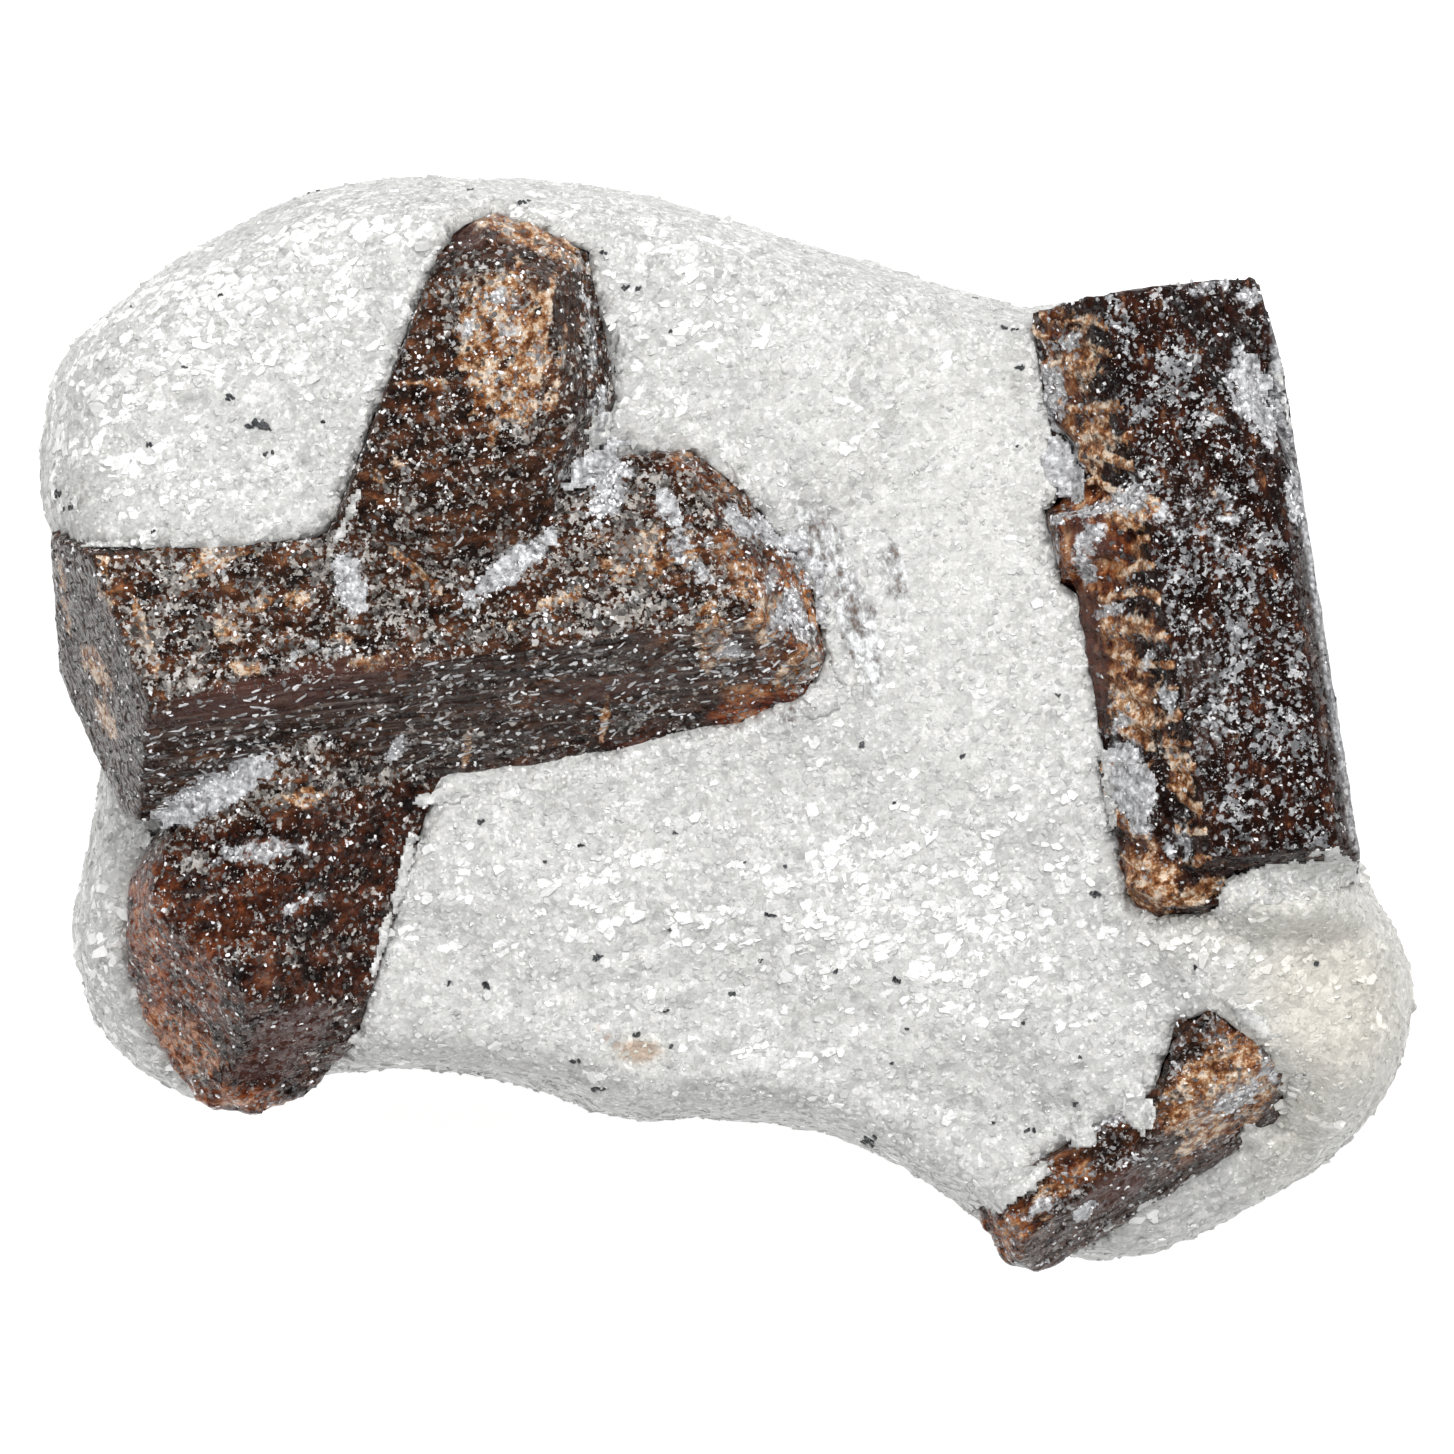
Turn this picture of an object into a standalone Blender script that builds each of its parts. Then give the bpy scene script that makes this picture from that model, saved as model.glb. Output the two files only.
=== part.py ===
"""Staurolite cross in pale mica schist, a loose hand specimen lying on its flat back.

One rounded lump of schist holds three dark staurolite crystals on its front:
the twinned cross on the left, a long flat crystal on the right and a broken
one in the lower right corner. Lengths below are millimetres, seen from above
with X to the right, Y up the picture and Z towards the viewer.
"""

import math

import bmesh
import bpy
from mathutils import Matrix, Vector, noise

MM = 0.001

# Gap left between a crystal and the rock round it
SOCKET_GAP = 0.3

# Twinned cross: the level bar rises 8 degrees to the right
RIDGE_LEFT = (-24.9, 1.0)
RIDGE_RIGHT = (-2.2, 4.3)
RIDGE_HEIGHT = 21.0
BAR_FACE_TILT = 12.0
BAR_LOWER_TILT = 52.7
BAR_UNDER_TILT = 103.3
BAR_DEPTH = 14.0

# Twinned cross: the crossing bar, whose two arms broke in different ways
UPPER_ARM_FACE_TILT = 15.0
UPPER_ARM_CREST = (-7.2, 14.2, 22.3)
LOWER_ARM_CREST = ((-17.4, 0.0), (-21.7, -13.7))
LOWER_ARM_CREST_HEIGHT = 18.0

# Long crystal on the right
LONG_FACE_HEIGHT = 21.0
LONG_DEPTH = 9.0

# Outline of the rock from above, clockwise from the left edge
ROCK_OUTLINE = [
    (-29.7, 9.9), (-29.6, 13.2), (-28.7, 16.4), (-26.0, 18.6), (-22.6, 20.9), (-18.2, 23.1),
    (-13.1, 23.9), (-7.4, 23.7), (-2.2, 22.7), (3.8, 20.9), (8.6, 19.5), (12.7, 18.4),
    (17.5, 18.5), (21.9, 18.6), (23.2, 16.6), (24.6, 9.4), (25.9, 1.2), (26.8, -3.6),
    (27.8, -6.8), (29.4, -9.2), (29.9, -12.2), (29.3, -15.0), (27.2, -18.0), (23.4, -20.8),
    (19.4, -22.7), (15.6, -23.2), (12.0, -21.9), (8.4, -19.5), (4.6, -17.7), (0.6, -17.0),
    (-4.8, -17.0), (-9.4, -15.4), (-13.6, -14.9), (-17.4, -15.1), (-22.0, -16.2), (-25.6, -14.9),
    (-27.6, -12.3), (-28.5, -8.6), (-27.6, -4.6), (-27.2, -1.0), (-27.7, 2.4), (-28.6, 6.6),
]

# Height of the front of the rock at chosen places: x, y, z
ROCK_HEIGHTS = [
    (-22.0, 14.5, 19.6), (-27.0, 12.0, 18.6), (-23.0, 9.0, 19.7), (-15.0, 20.0, 19.3), (-3.5, 20.0, 18.9),
    (3.0, 16.0, 18.5), (-1.0, 14.0, 18.0), (10.5, 14.0, 17.3), (7.5, 5.0, 16.9), (13.0, 1.0, 16.8),
    (-9.5, -5.0, 15.2), (1.0, -5.0, 15.5), (-12.5, -12.0, 14.2), (0.0, -13.5, 14.2), (10.5, -9.5, 15.8),
    (16.0, -12.5, 15.6), (23.0, -9.0, 17.8), (27.0, -12.5, 16.6), (12.0, -18.0, 13.6), (22.5, -20.0, 12.4),
    (-25.5, -9.0, 11.2), (-23.0, -14.0, 9.6),
]

# Profile of the rim: share of the height, then share of the outline
ROCK_PROFILE = [
    (0.0, 0.885), (0.05, 0.925), (0.16, 0.965), (0.32, 0.992), (0.5, 1.0),
    (0.66, 0.995), (0.79, 0.981), (0.89, 0.96), (0.96, 0.93),
]
ROCK_TOP_RINGS = [0.885, 0.825, 0.75, 0.66, 0.57, 0.48, 0.39, 0.3, 0.2, 0.1]
ROCK_COLUMNS = 96


def clear_scene():
    for obj in list(bpy.data.objects):
        bpy.data.objects.remove(obj, do_unlink=True)


def new_collection(name):
    collection = bpy.data.collections.new(name)
    bpy.context.scene.collection.children.link(collection)
    return collection


def stone(name, colour, roughness):
    material = bpy.data.materials.new(name)
    material.use_nodes = True
    shader = material.node_tree.nodes["Principled BSDF"]
    shader.inputs["Base Color"].default_value = (*colour, 1.0)
    shader.inputs["Roughness"].default_value = roughness
    shader.inputs["Metallic"].default_value = 0.0
    material.diffuse_color = (*colour, 1.0)
    return material


def mesh_object(name, bm, collection, material=None):
    mesh = bpy.data.meshes.new(name)
    bmesh.ops.recalc_face_normals(bm, faces=bm.faces)
    bm.to_mesh(mesh)
    bm.free()
    obj = bpy.data.objects.new(name, mesh)
    collection.objects.link(obj)
    if material:
        mesh.materials.append(material)
    return obj


def edge_face(start, end, height, tilt):
    """A face through an edge at one height, leaning outwards to the right of start to end.

    A tilt of 0 is level, 90 is upright and more than 90 leans in underneath.
    """
    dx = end[0] - start[0]
    dy = end[1] - start[1]
    length = math.hypot(dx, dy)
    lean = math.radians(tilt)
    normal = Vector((dy / length * math.sin(lean), -dx / length * math.sin(lean), math.cos(lean)))
    return Vector((start[0], start[1], height)), normal


def free_face(point, normal):
    return Vector(point), Vector(normal).normalized()


def skirt(points, height, tilt):
    """Steep faces along an open run of outline points, walked anticlockwise."""
    return [edge_face(start, end, height, tilt) for start, end in zip(points, points[1:])]


def crystal(name, faces, collection, material=None, clearance=0.0):
    """A convex crystal: a block trimmed back to each of its faces in turn."""
    bm = bmesh.new()
    bmesh.ops.create_cube(bm, size=160.0)
    for point, normal in faces:
        everything = bm.verts[:] + bm.edges[:] + bm.faces[:]
        cut = bmesh.ops.bisect_plane(
            bm, geom=everything, dist=1e-6, plane_co=point + normal * clearance,
            plane_no=normal, clear_outer=True)
        rim = [item for item in cut["geom_cut"] if isinstance(item, bmesh.types.BMEdge)]
        if rim:
            bmesh.ops.contextual_create(bm, geom=rim)
    bmesh.ops.scale(bm, vec=(MM, MM, MM), verts=bm.verts)
    return mesh_object(name, bm, collection, material)


def combine(target, tool, operation):
    modifier = target.modifiers.new(f"{operation.lower()}_{tool.name}", "BOOLEAN")
    modifier.operation = operation
    modifier.solver = "EXACT"
    modifier.object = tool


def bar_common(lift):
    """The prism faces both arms of the level bar share, raised a touch on one arm."""
    ridge = RIDGE_HEIGHT + lift
    front = edge_face(RIDGE_RIGHT, RIDGE_LEFT, ridge, BAR_FACE_TILT)
    back = free_face(front[0] - front[1] * BAR_DEPTH, -front[1])
    return [
        front,
        edge_face(RIDGE_LEFT, RIDGE_RIGHT, ridge, BAR_LOWER_TILT),
        edge_face((-24.2, -3.95), (-1.5, -0.65), 14.4 + lift, BAR_UNDER_TILT),
        back,
    ]


def bar_left_faces():
    """Left arm, ending in the grey striated face over the edge of the rock."""
    return bar_common(0.0) + [
        edge_face((-17.6, 8.1), (-27.0, 7.5), 19.6, 77.0),
        free_face((-24.9, 1.0, 21.0), (-0.905, -0.29, 0.31)),
        free_face((-29.05, 2.4, 10.2), (-0.70, -0.45, -0.34)),
        free_face((-29.25, 6.6, 13.5), (-0.85, 0.27, -0.40)),
        free_face((-6.0, 3.0, 12.0), (1.0, 0.14, 0.0)),
    ]


def bar_right_faces():
    """Right arm, wider than the left and worn down into the rock at its end."""
    worn_end = [(1.0, 0.0), (3.4, 1.1), (4.4, 3.0), (3.8, 6.0), (1.1, 9.9), (-1.6, 11.9), (-6.0, 11.4)]
    return bar_common(0.07) + [
        edge_face((-1.6, 12.05), (-6.6, 11.35), 19.4, 72.0),
        edge_face((-3.9, 11.95), (-6.7, 9.7), 19.5, 62.0),
        edge_face((0.9, 0.1), (4.3, 2.3), 16.4, 62.0),
        edge_face((4.5, 2.6), (3.2, 7.2), 17.0, 58.0),
        edge_face((3.4, 6.8), (0.8, 10.4), 17.4, 58.0),
        edge_face((1.0, 10.2), (-1.6, 12.1), 18.0, 60.0),
        free_face((-15.5, 2.0, 12.0), (-1.0, -0.14, 0.0)),
    ] + skirt(worn_end, 16.5, 94.0)


def arm_up_faces():
    """Upper arm of the crossing bar, with its bevelled cap and the broken V at its foot."""
    cap = [(-9.0, 4.0), (-4.8, 14.1), (-5.8, 20.4), (-10.0, 22.2), (-11.3, 21.6), (-12.5, 20.5)]
    crest_x, crest_y, crest_z = UPPER_ARM_CREST
    return [
        edge_face((crest_x, crest_y), (crest_x - 2.0, crest_y - 4.95), crest_z, UPPER_ARM_FACE_TILT),
        edge_face((-12.4, 20.7), (-16.8, 9.4), 19.3, 82.0),
        edge_face((-4.9, 14.2), (-5.9, 20.3), 18.6, 60.0),
        edge_face((-6.1, 11.6), (-4.9, 14.2), 18.8, 68.0),
        edge_face((-5.9, 20.5), (-9.7, 22.3), 18.8, 55.0),
        edge_face((-9.9, 22.3), (-12.5, 20.7), 19.0, 62.0),
        edge_face((-11.8, 5.3), (-6.6, 9.4), 20.1, 26.0),
        edge_face((-16.8, 9.5), (-11.9, 5.4), 20.3, 34.0),
        free_face((-13.5, 3.5, 15.0), (-0.38, -0.92, 0.0)),
        free_face((0.0, 0.0, 9.0), (0.0, 0.0, -1.0)),
    ] + skirt(cap, 17.0, 94.0)


def arm_down_faces():
    """Lower arm of the crossing bar, roof shaped, rounded off where it overhangs the rock."""
    left_side = [(-24.4, -4.2), (-25.9, -6.7), (-26.1, -10.4), (-25.2, -13.4), (-22.8, -16.2)]
    crest_top, crest_end = LOWER_ARM_CREST
    height = LOWER_ARM_CREST_HEIGHT
    return [
        edge_face(crest_top, crest_end, height, 26.0),
        edge_face(crest_end, crest_top, height, 33.0),
        edge_face((-16.4, -14.6), (-12.4, -2.3), 14.2, 84.0),
        edge_face((-22.0, -16.5), (-16.5, -14.5), 11.6, 58.0),
        edge_face((-22.9, -16.3), (-18.5, -16.6), 10.8, 68.0),
        edge_face((-26.1, -11.0), (-22.4, -16.3), 10.8, 60.0),
        edge_face((-26.0, -6.8), (-26.2, -10.8), 12.0, 72.0),
        edge_face((-24.1, -4.0), (-26.1, -7.0), 13.0, 78.0),
        free_face((-20.0, -16.7, 10.6), (0.12, -0.80, -0.59)),
        free_face((-26.2, -10.0, 11.0), (-0.90, -0.20, -0.38)),
        free_face((-17.0, 4.0, 12.0), (0.38, 0.92, 0.0)),
        edge_face((-18.2, -16.1), (-16.5, -14.2), 12.0, 94.0),
        free_face((0.0, 0.0, 5.0), (0.0, 0.0, -1.0)),
    ] + skirt(left_side, 12.0, 94.0)


def long_faces():
    """Long crystal, ground flat on top, with one sloping prism face down its left side."""
    sides = [(18.0, -7.2), (27.3, -6.4), (23.8, 15.5), (22.8, 19.3), (13.2, 17.9)]
    return [
        free_face((20.0, 5.0, LONG_FACE_HEIGHT), (0.035, 0.0, 1.0)),
        edge_face((16.2, 17.9), (20.8, -4.6), LONG_FACE_HEIGHT, 50.0),
        edge_face((13.2, 17.8), (16.9, -5.3), 17.0, 98.0),
        edge_face((26.8, -5.6), (23.4, 15.5), 20.3, 55.0),
        edge_face((25.0, 11.4), (22.2, 17.6), 19.9, 24.0),
        edge_face((20.5, -6.8), (27.2, -6.0), 18.2, 70.0),
        free_face((26.0, 5.0, 14.0), (0.74, 0.12, -0.66)),
        free_face((0.0, 0.0, LONG_FACE_HEIGHT - LONG_DEPTH), (0.0, 0.0, -1.0)),
    ] + skirt(sides, 16.0, 94.0)


def foot_faces():
    """Broken step at the lower end of the long crystal."""
    return [
        free_face((19.0, -6.0, 19.0), (-0.15, -0.25, 1.0)),
        edge_face((17.6, -2.0), (18.4, -7.0), 18.9, 52.0),
        edge_face((16.8, -4.5), (17.4, -6.9), 17.0, 96.0),
        edge_face((17.2, -7.0), (18.9, -8.1), 17.0, 74.0),
        edge_face((18.5, -8.1), (21.6, -8.2), 17.0, 74.0),
        edge_face((21.6, -8.2), (22.4, -5.0), 17.4, 76.0),
        free_face((18.0, -1.5, 15.0), (0.0, 1.0, 0.0)),
        free_face((0.0, 0.0, 13.0), (0.0, 0.0, -1.0)),
    ]


def bud_faces():
    """Small crystal grown on the sloping side of the long one."""
    return [
        free_face((16.0, 8.2, 19.7), (-0.42, -0.30, 1.0)),
        edge_face((13.8, 9.3), (14.5, 6.4), 17.2, 80.0),
        edge_face((14.5, 6.4), (17.4, 6.9), 17.5, 75.0),
        edge_face((18.4, 10.3), (13.8, 9.3), 17.5, 78.0),
        free_face((18.0, 8.0, 15.0), (1.0, 0.2, 0.0)),
        free_face((0.0, 0.0, 13.0), (0.0, 0.0, -1.0)),
    ]


def corner_bar_faces():
    """Narrow bar of the broken crystal in the lower right corner."""
    sides = [(16.8, -16.6), (11.0, -20.9), (12.2, -23.2), (13.6, -23.8), (15.8, -22.5), (24.8, -16.9)]
    return [
        free_face((16.3, -20.1, 14.3), (0.10, -0.18, 1.0)),
        edge_face((13.5, -23.8), (24.9, -16.6), 11.2, 60.0),
        edge_face((24.9, -16.9), (24.5, -15.0), 13.5, 70.0),
        edge_face((17.0, -16.5), (10.8, -20.7), 13.6, 80.0),
        edge_face((10.8, -20.6), (12.4, -23.6), 11.4, 70.0),
        edge_face((12.2, -23.4), (14.0, -23.8), 11.0, 72.0),
        free_face((19.0, -20.9, 11.0), (0.42, -0.70, -0.58)),
        free_face((0.0, 0.0, 6.0), (0.0, 0.0, -1.0)),
    ] + skirt(sides, 11.0, 94.0)


def corner_block_faces():
    """Wider, higher end of the same crystal."""
    sides = [(15.8, -22.5), (24.8, -16.9), (24.5, -15.1), (21.0, -12.0), (19.2, -12.8)]
    return [
        free_face((21.9, -17.1, 15.2), (0.16, -0.30, 1.0)),
        edge_face((16.0, -22.3), (24.9, -16.5), 11.3, 60.0),
        edge_face((24.9, -17.2), (24.4, -15.0), 14.0, 72.0),
        edge_face((24.6, -15.2), (21.2, -12.1), 16.0, 76.0),
        edge_face((21.2, -12.1), (19.4, -12.9), 16.2, 78.0),
        edge_face((19.5, -12.8), (18.3, -17.2), 15.6, 76.0),
        free_face((19.0, -20.7, 11.0), (0.42, -0.70, -0.58)),
        free_face((0.0, 0.0, 7.0), (0.0, 0.0, -1.0)),
    ] + skirt(sides, 12.0, 94.0)


def smooth_outline(points, columns):
    """A closed smooth curve through the points, walked in equal steps of the list."""
    count = len(points)
    curve = []
    for column in range(columns):
        place = column * count / columns
        index = int(place)
        step = place - index
        before, here, there, after = (Vector(points[(index + shift) % count]) for shift in (-1, 0, 1, 2))
        curve.append(0.5 * (
            2.0 * here + (there - before) * step
            + (2.0 * before - 5.0 * here + 4.0 * there - after) * step ** 2
            + (3.0 * here - before - 3.0 * there + after) * step ** 3))
    return curve


def rock_height(x, y):
    """Height of the front of the rock, blended from the chosen places."""
    total = 0.0
    weight_sum = 0.0
    for place_x, place_y, height in ROCK_HEIGHTS:
        weight = 1.0 / (4.0 + (x - place_x) ** 2 + (y - place_y) ** 2) ** 2
        total += weight * height
        weight_sum += weight
    lumps = noise.noise(Vector((x * 0.17, y * 0.17, 3.0))) * 0.55
    return total / weight_sum + lumps


def rock(name, collection, material):
    """A lump lofted ring by ring from its flat back, up the sides and in over the front."""
    outline = smooth_outline(ROCK_OUTLINE, ROCK_COLUMNS)
    bm = bmesh.new()
    rings = []
    for share, scale in ROCK_PROFILE:
        ring = []
        for point in outline:
            edge_height = rock_height(point.x * 0.9, point.y * 0.9)
            z = share * edge_height
            bulge = noise.noise(Vector((point.x * 0.16, point.y * 0.16, z * 0.16))) * 0.014 * (share > 0.0)
            size = scale + bulge * (1.0 - share)
            ring.append(bm.verts.new((point.x * size, point.y * size, z)))
        rings.append(ring)
    for scale in ROCK_TOP_RINGS:
        rings.append([
            bm.verts.new((point.x * scale, point.y * scale, rock_height(point.x * scale, point.y * scale)))
            for point in outline])
    for lower, upper in zip(rings, rings[1:]):
        for column in range(ROCK_COLUMNS):
            beside = (column + 1) % ROCK_COLUMNS
            bm.faces.new((lower[column], lower[beside], upper[beside], upper[column]))
    summit = bm.verts.new((0.0, 0.0, rock_height(0.0, 0.0)))
    for column in range(ROCK_COLUMNS):
        bm.faces.new((rings[-1][column], rings[-1][(column + 1) % ROCK_COLUMNS], summit))
    bm.faces.new(rings[0])
    bmesh.ops.triangulate(bm, faces=bm.faces)
    bmesh.ops.scale(bm, vec=(MM, MM, MM), verts=bm.verts)
    return mesh_object(name, bm, collection, material)


def centre_on_base(parts, everything):
    """Move everything so the middle of the specimen's footprint box is the origin."""
    depsgraph = bpy.context.evaluated_depsgraph_get()
    corners = []
    for part in parts:
        mesh = part.evaluated_get(depsgraph).to_mesh()
        corners += [vertex.co.copy() for vertex in mesh.vertices]
    shift = Vector((
        -0.5 * (min(c.x for c in corners) + max(c.x for c in corners)),
        -0.5 * (min(c.y for c in corners) + max(c.y for c in corners)),
        -min(c.z for c in corners)))
    for obj in everything:
        obj.data.transform(Matrix.Translation(shift))


clear_scene()
specimen = new_collection("staurolite_cross")
cutters = new_collection("cutters")

matrix = rock("schist_matrix", specimen, stone("mica_schist", (0.62, 0.62, 0.60), 0.55))
matrix.data.shade_smooth()

# Name, colour and joined pieces of each crystal
CRYSTALS = [
    ("cross_twin", (0.060, 0.026, 0.017), {
        "bar_left": bar_left_faces(),
        "bar_right": bar_right_faces(),
        "arm_up": arm_up_faces(),
        "arm_down": arm_down_faces(),
    }),
    ("long_crystal", (0.028, 0.013, 0.010), {
        "blade": long_faces(),
        "foot": foot_faces(),
        "bud": bud_faces(),
    }),
    ("corner_crystal", (0.110, 0.048, 0.024), {
        "corner_bar": corner_bar_faces(),
        "corner_block": corner_block_faces(),
    }),
]

for crystal_name, colour, pieces in CRYSTALS:
    material = stone(f"{crystal_name}_stone", colour, 0.38)
    body = None
    for piece_name, faces in pieces.items():
        socket = crystal(f"socket_{piece_name}", faces, cutters, clearance=SOCKET_GAP)
        combine(matrix, socket, "DIFFERENCE")
        if body is None:
            body = crystal(crystal_name, faces, specimen, material)
        else:
            combine(body, crystal(piece_name, faces, cutters), "UNION")

for cutter in cutters.objects:
    cutter.hide_render = True
    cutter.display_type = "WIRE"

centre_on_base(list(specimen.objects), list(specimen.objects) + list(cutters.objects))
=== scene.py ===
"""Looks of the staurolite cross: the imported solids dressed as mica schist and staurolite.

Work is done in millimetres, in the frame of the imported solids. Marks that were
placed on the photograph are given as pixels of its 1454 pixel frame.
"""

import math

import bpy
import numpy as np
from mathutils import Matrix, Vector, noise
from mathutils.bvhtree import BVHTree


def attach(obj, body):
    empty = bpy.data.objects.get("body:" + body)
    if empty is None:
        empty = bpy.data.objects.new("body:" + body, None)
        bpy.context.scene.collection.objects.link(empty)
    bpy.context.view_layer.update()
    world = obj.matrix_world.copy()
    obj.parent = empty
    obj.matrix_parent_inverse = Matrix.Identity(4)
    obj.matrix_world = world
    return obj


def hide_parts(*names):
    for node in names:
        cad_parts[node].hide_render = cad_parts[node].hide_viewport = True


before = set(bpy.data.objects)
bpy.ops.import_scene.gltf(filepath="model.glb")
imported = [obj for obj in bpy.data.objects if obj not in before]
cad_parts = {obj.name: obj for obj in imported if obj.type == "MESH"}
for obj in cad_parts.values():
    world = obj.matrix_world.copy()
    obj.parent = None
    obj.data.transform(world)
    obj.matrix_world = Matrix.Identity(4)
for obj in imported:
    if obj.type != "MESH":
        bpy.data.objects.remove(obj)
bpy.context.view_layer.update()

MM = 0.001
FRAME_PIXELS = 1454.0

# Millimetres in a pixel, the pixel in the middle of the specimen, and that pixel's place in mm
PIXEL = 60.0 / 1382.0
MIDDLE = (726.0, 727.0)
SHIFT = (-0.06, -0.05)

# Axes of the prisms, in degrees anticlockwise from +X
BAR_AXIS = 8.0
LONG_AXIS = 99.0
CORNER_AXIS = 33.0

# Faces of the crystals: azimuth of the outward normal and its lean from +Z, in degrees
BAR_LOWER_FACE = (BAR_AXIS - 90.0, 52.7)
BAR_END_FACE = (197.8, 72.0)
ARM_RIGHT_FACE = (-9.0, 60.0)
LONG_TOP_FACE = (0.0, 2.0)
LONG_LEFT_FACE = (191.5, 50.0)
LONG_RIGHT_FACE = (LONG_AXIS - 90.0, 75.0)
CORNER_LOWER_FACE = (CORNER_AXIS - 90.0, 60.0)

# Line along the foot of the bar, with the lower arm below it: a pixel on it and its slope in degrees
BAR_FOOT = (130.0, 846.0)
BAR_FOOT_SLOPE = 13.6

# Edge of the small faces of each stone, in mm
ROCK_VOXEL = 0.36
CROSS_VOXEL = 0.24
LONG_VOXEL = 0.22
CORNER_VOXEL = 0.20

# Height in metres, above the whole specimen, from which plumb lines are dropped
PLUMB_HEIGHT = 0.05

# X in mm, left of which the rock's rim carries white mica
LEFT_RIM = -24.0

# Directions in which the flakes lie on the rock and on the bar, in degrees
ROCK_GRAIN = 18.0
SLIVER_GRAIN = BAR_AXIS + 14.0

generator = np.random.default_rng(20)


def from_photo(px, py):
    return (px - MIDDLE[0]) * PIXEL + SHIFT[0], (MIDDLE[1] - py) * PIXEL + SHIFT[1]


# Blotches on the crystals: pixel x and y, half length, half width, degrees, strength
MICA_PATCHES = [
    (352, 583, 32, 15, 105, 1.0), (508, 572, 54, 14, 38, 0.9), (214, 793, 64, 18, 27, 1.0),
    (398, 748, 14, 9, 60, 0.8), (258, 852, 44, 11, 8, 0.8), (610, 474, 26, 12, 15, 0.8),
    (606, 502, 30, 18, 55, 0.9), (668, 508, 22, 10, 110, 0.8), (735, 520, 26, 10, 130, 0.55),
    (1130, 785, 46, 20, 100, 1.0), (1062, 468, 34, 16, 105, 0.9), (1250, 400, 56, 22, 112, 0.8),
    (1245, 300, 16, 12, 30, 0.7), (1290, 500, 30, 8, 100, 0.8), (590, 330, 70, 8, 98, 0.5),
    (600, 400, 36, 9, 80, 0.5), (1238, 886, 26, 12, 20, 0.8), (806, 558, 50, 16, 122, 0.95),
    (800, 622, 30, 10, 120, 0.8), (786, 612, 30, 12, 70, 0.8), (770, 536, 30, 12, 130, 0.8),
    (1128, 500, 20, 14, 20, 0.95), (1052, 392, 34, 12, 100, 0.8), (1066, 345, 16, 8, 20, 0.8),
    (1165, 700, 16, 10, 100, 0.8), (1108, 610, 20, 7, 20, 0.7), (1150, 655, 16, 8, 60, 0.6),
    (1095, 512, 24, 6, 10, 0.9), (1170, 848, 22, 8, 100, 0.6), (1086, 572, 14, 9, 110, 1.0),
    (1060, 520, 16, 6, 20, 0.8), (1048, 430, 30, 9, 100, 0.6), (1118, 725, 16, 10, 60, 0.7),
    (1208, 720, 34, 10, 100, 0.5), (1128, 1160, 30, 7, 30, 0.6), (1236, 1098, 34, 12, 30, 0.8),
    (1268, 1066, 26, 8, 120, 0.7), (300, 905, 40, 8, 20, 0.5), (730, 650, 20, 10, 30, 0.6),
    (560, 480, 20, 12, 60, 0.4), (1130, 905, 20, 9, 150, 0.5), (1052, 556, 24, 9, 100, 0.6),
    (770, 585, 20, 12, 60, 0.5), (1222, 540, 100, 20, 98, 0.42), (1212, 680, 44, 22, 110, 0.38),
    (1085, 545, 24, 13, 60, 0.8), (1182, 842, 30, 13, 100, 0.5), (1160, 520, 40, 30, 100, 0.4),
    (1110, 1120, 30, 10, 30, 0.6), (1085, 1210, 12, 8, 30, 0.8), (1040, 1205, 20, 9, 30, 0.6),
    (1290, 1120, 20, 9, 80, 0.6), (310, 655, 60, 16, 8, 0.45), (692, 560, 42, 24, 120, 0.45),
    (725, 650, 30, 18, 100, 0.4), (1207, 291, 40, 9, 8, 0.55), (512, 322, 36, 22, 80, 0.36),
    (538, 376, 42, 12, 78, 0.4), (470, 330, 12, 7, 60, 0.8), (500, 300, 10, 7, 20, 0.8),
]
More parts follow.
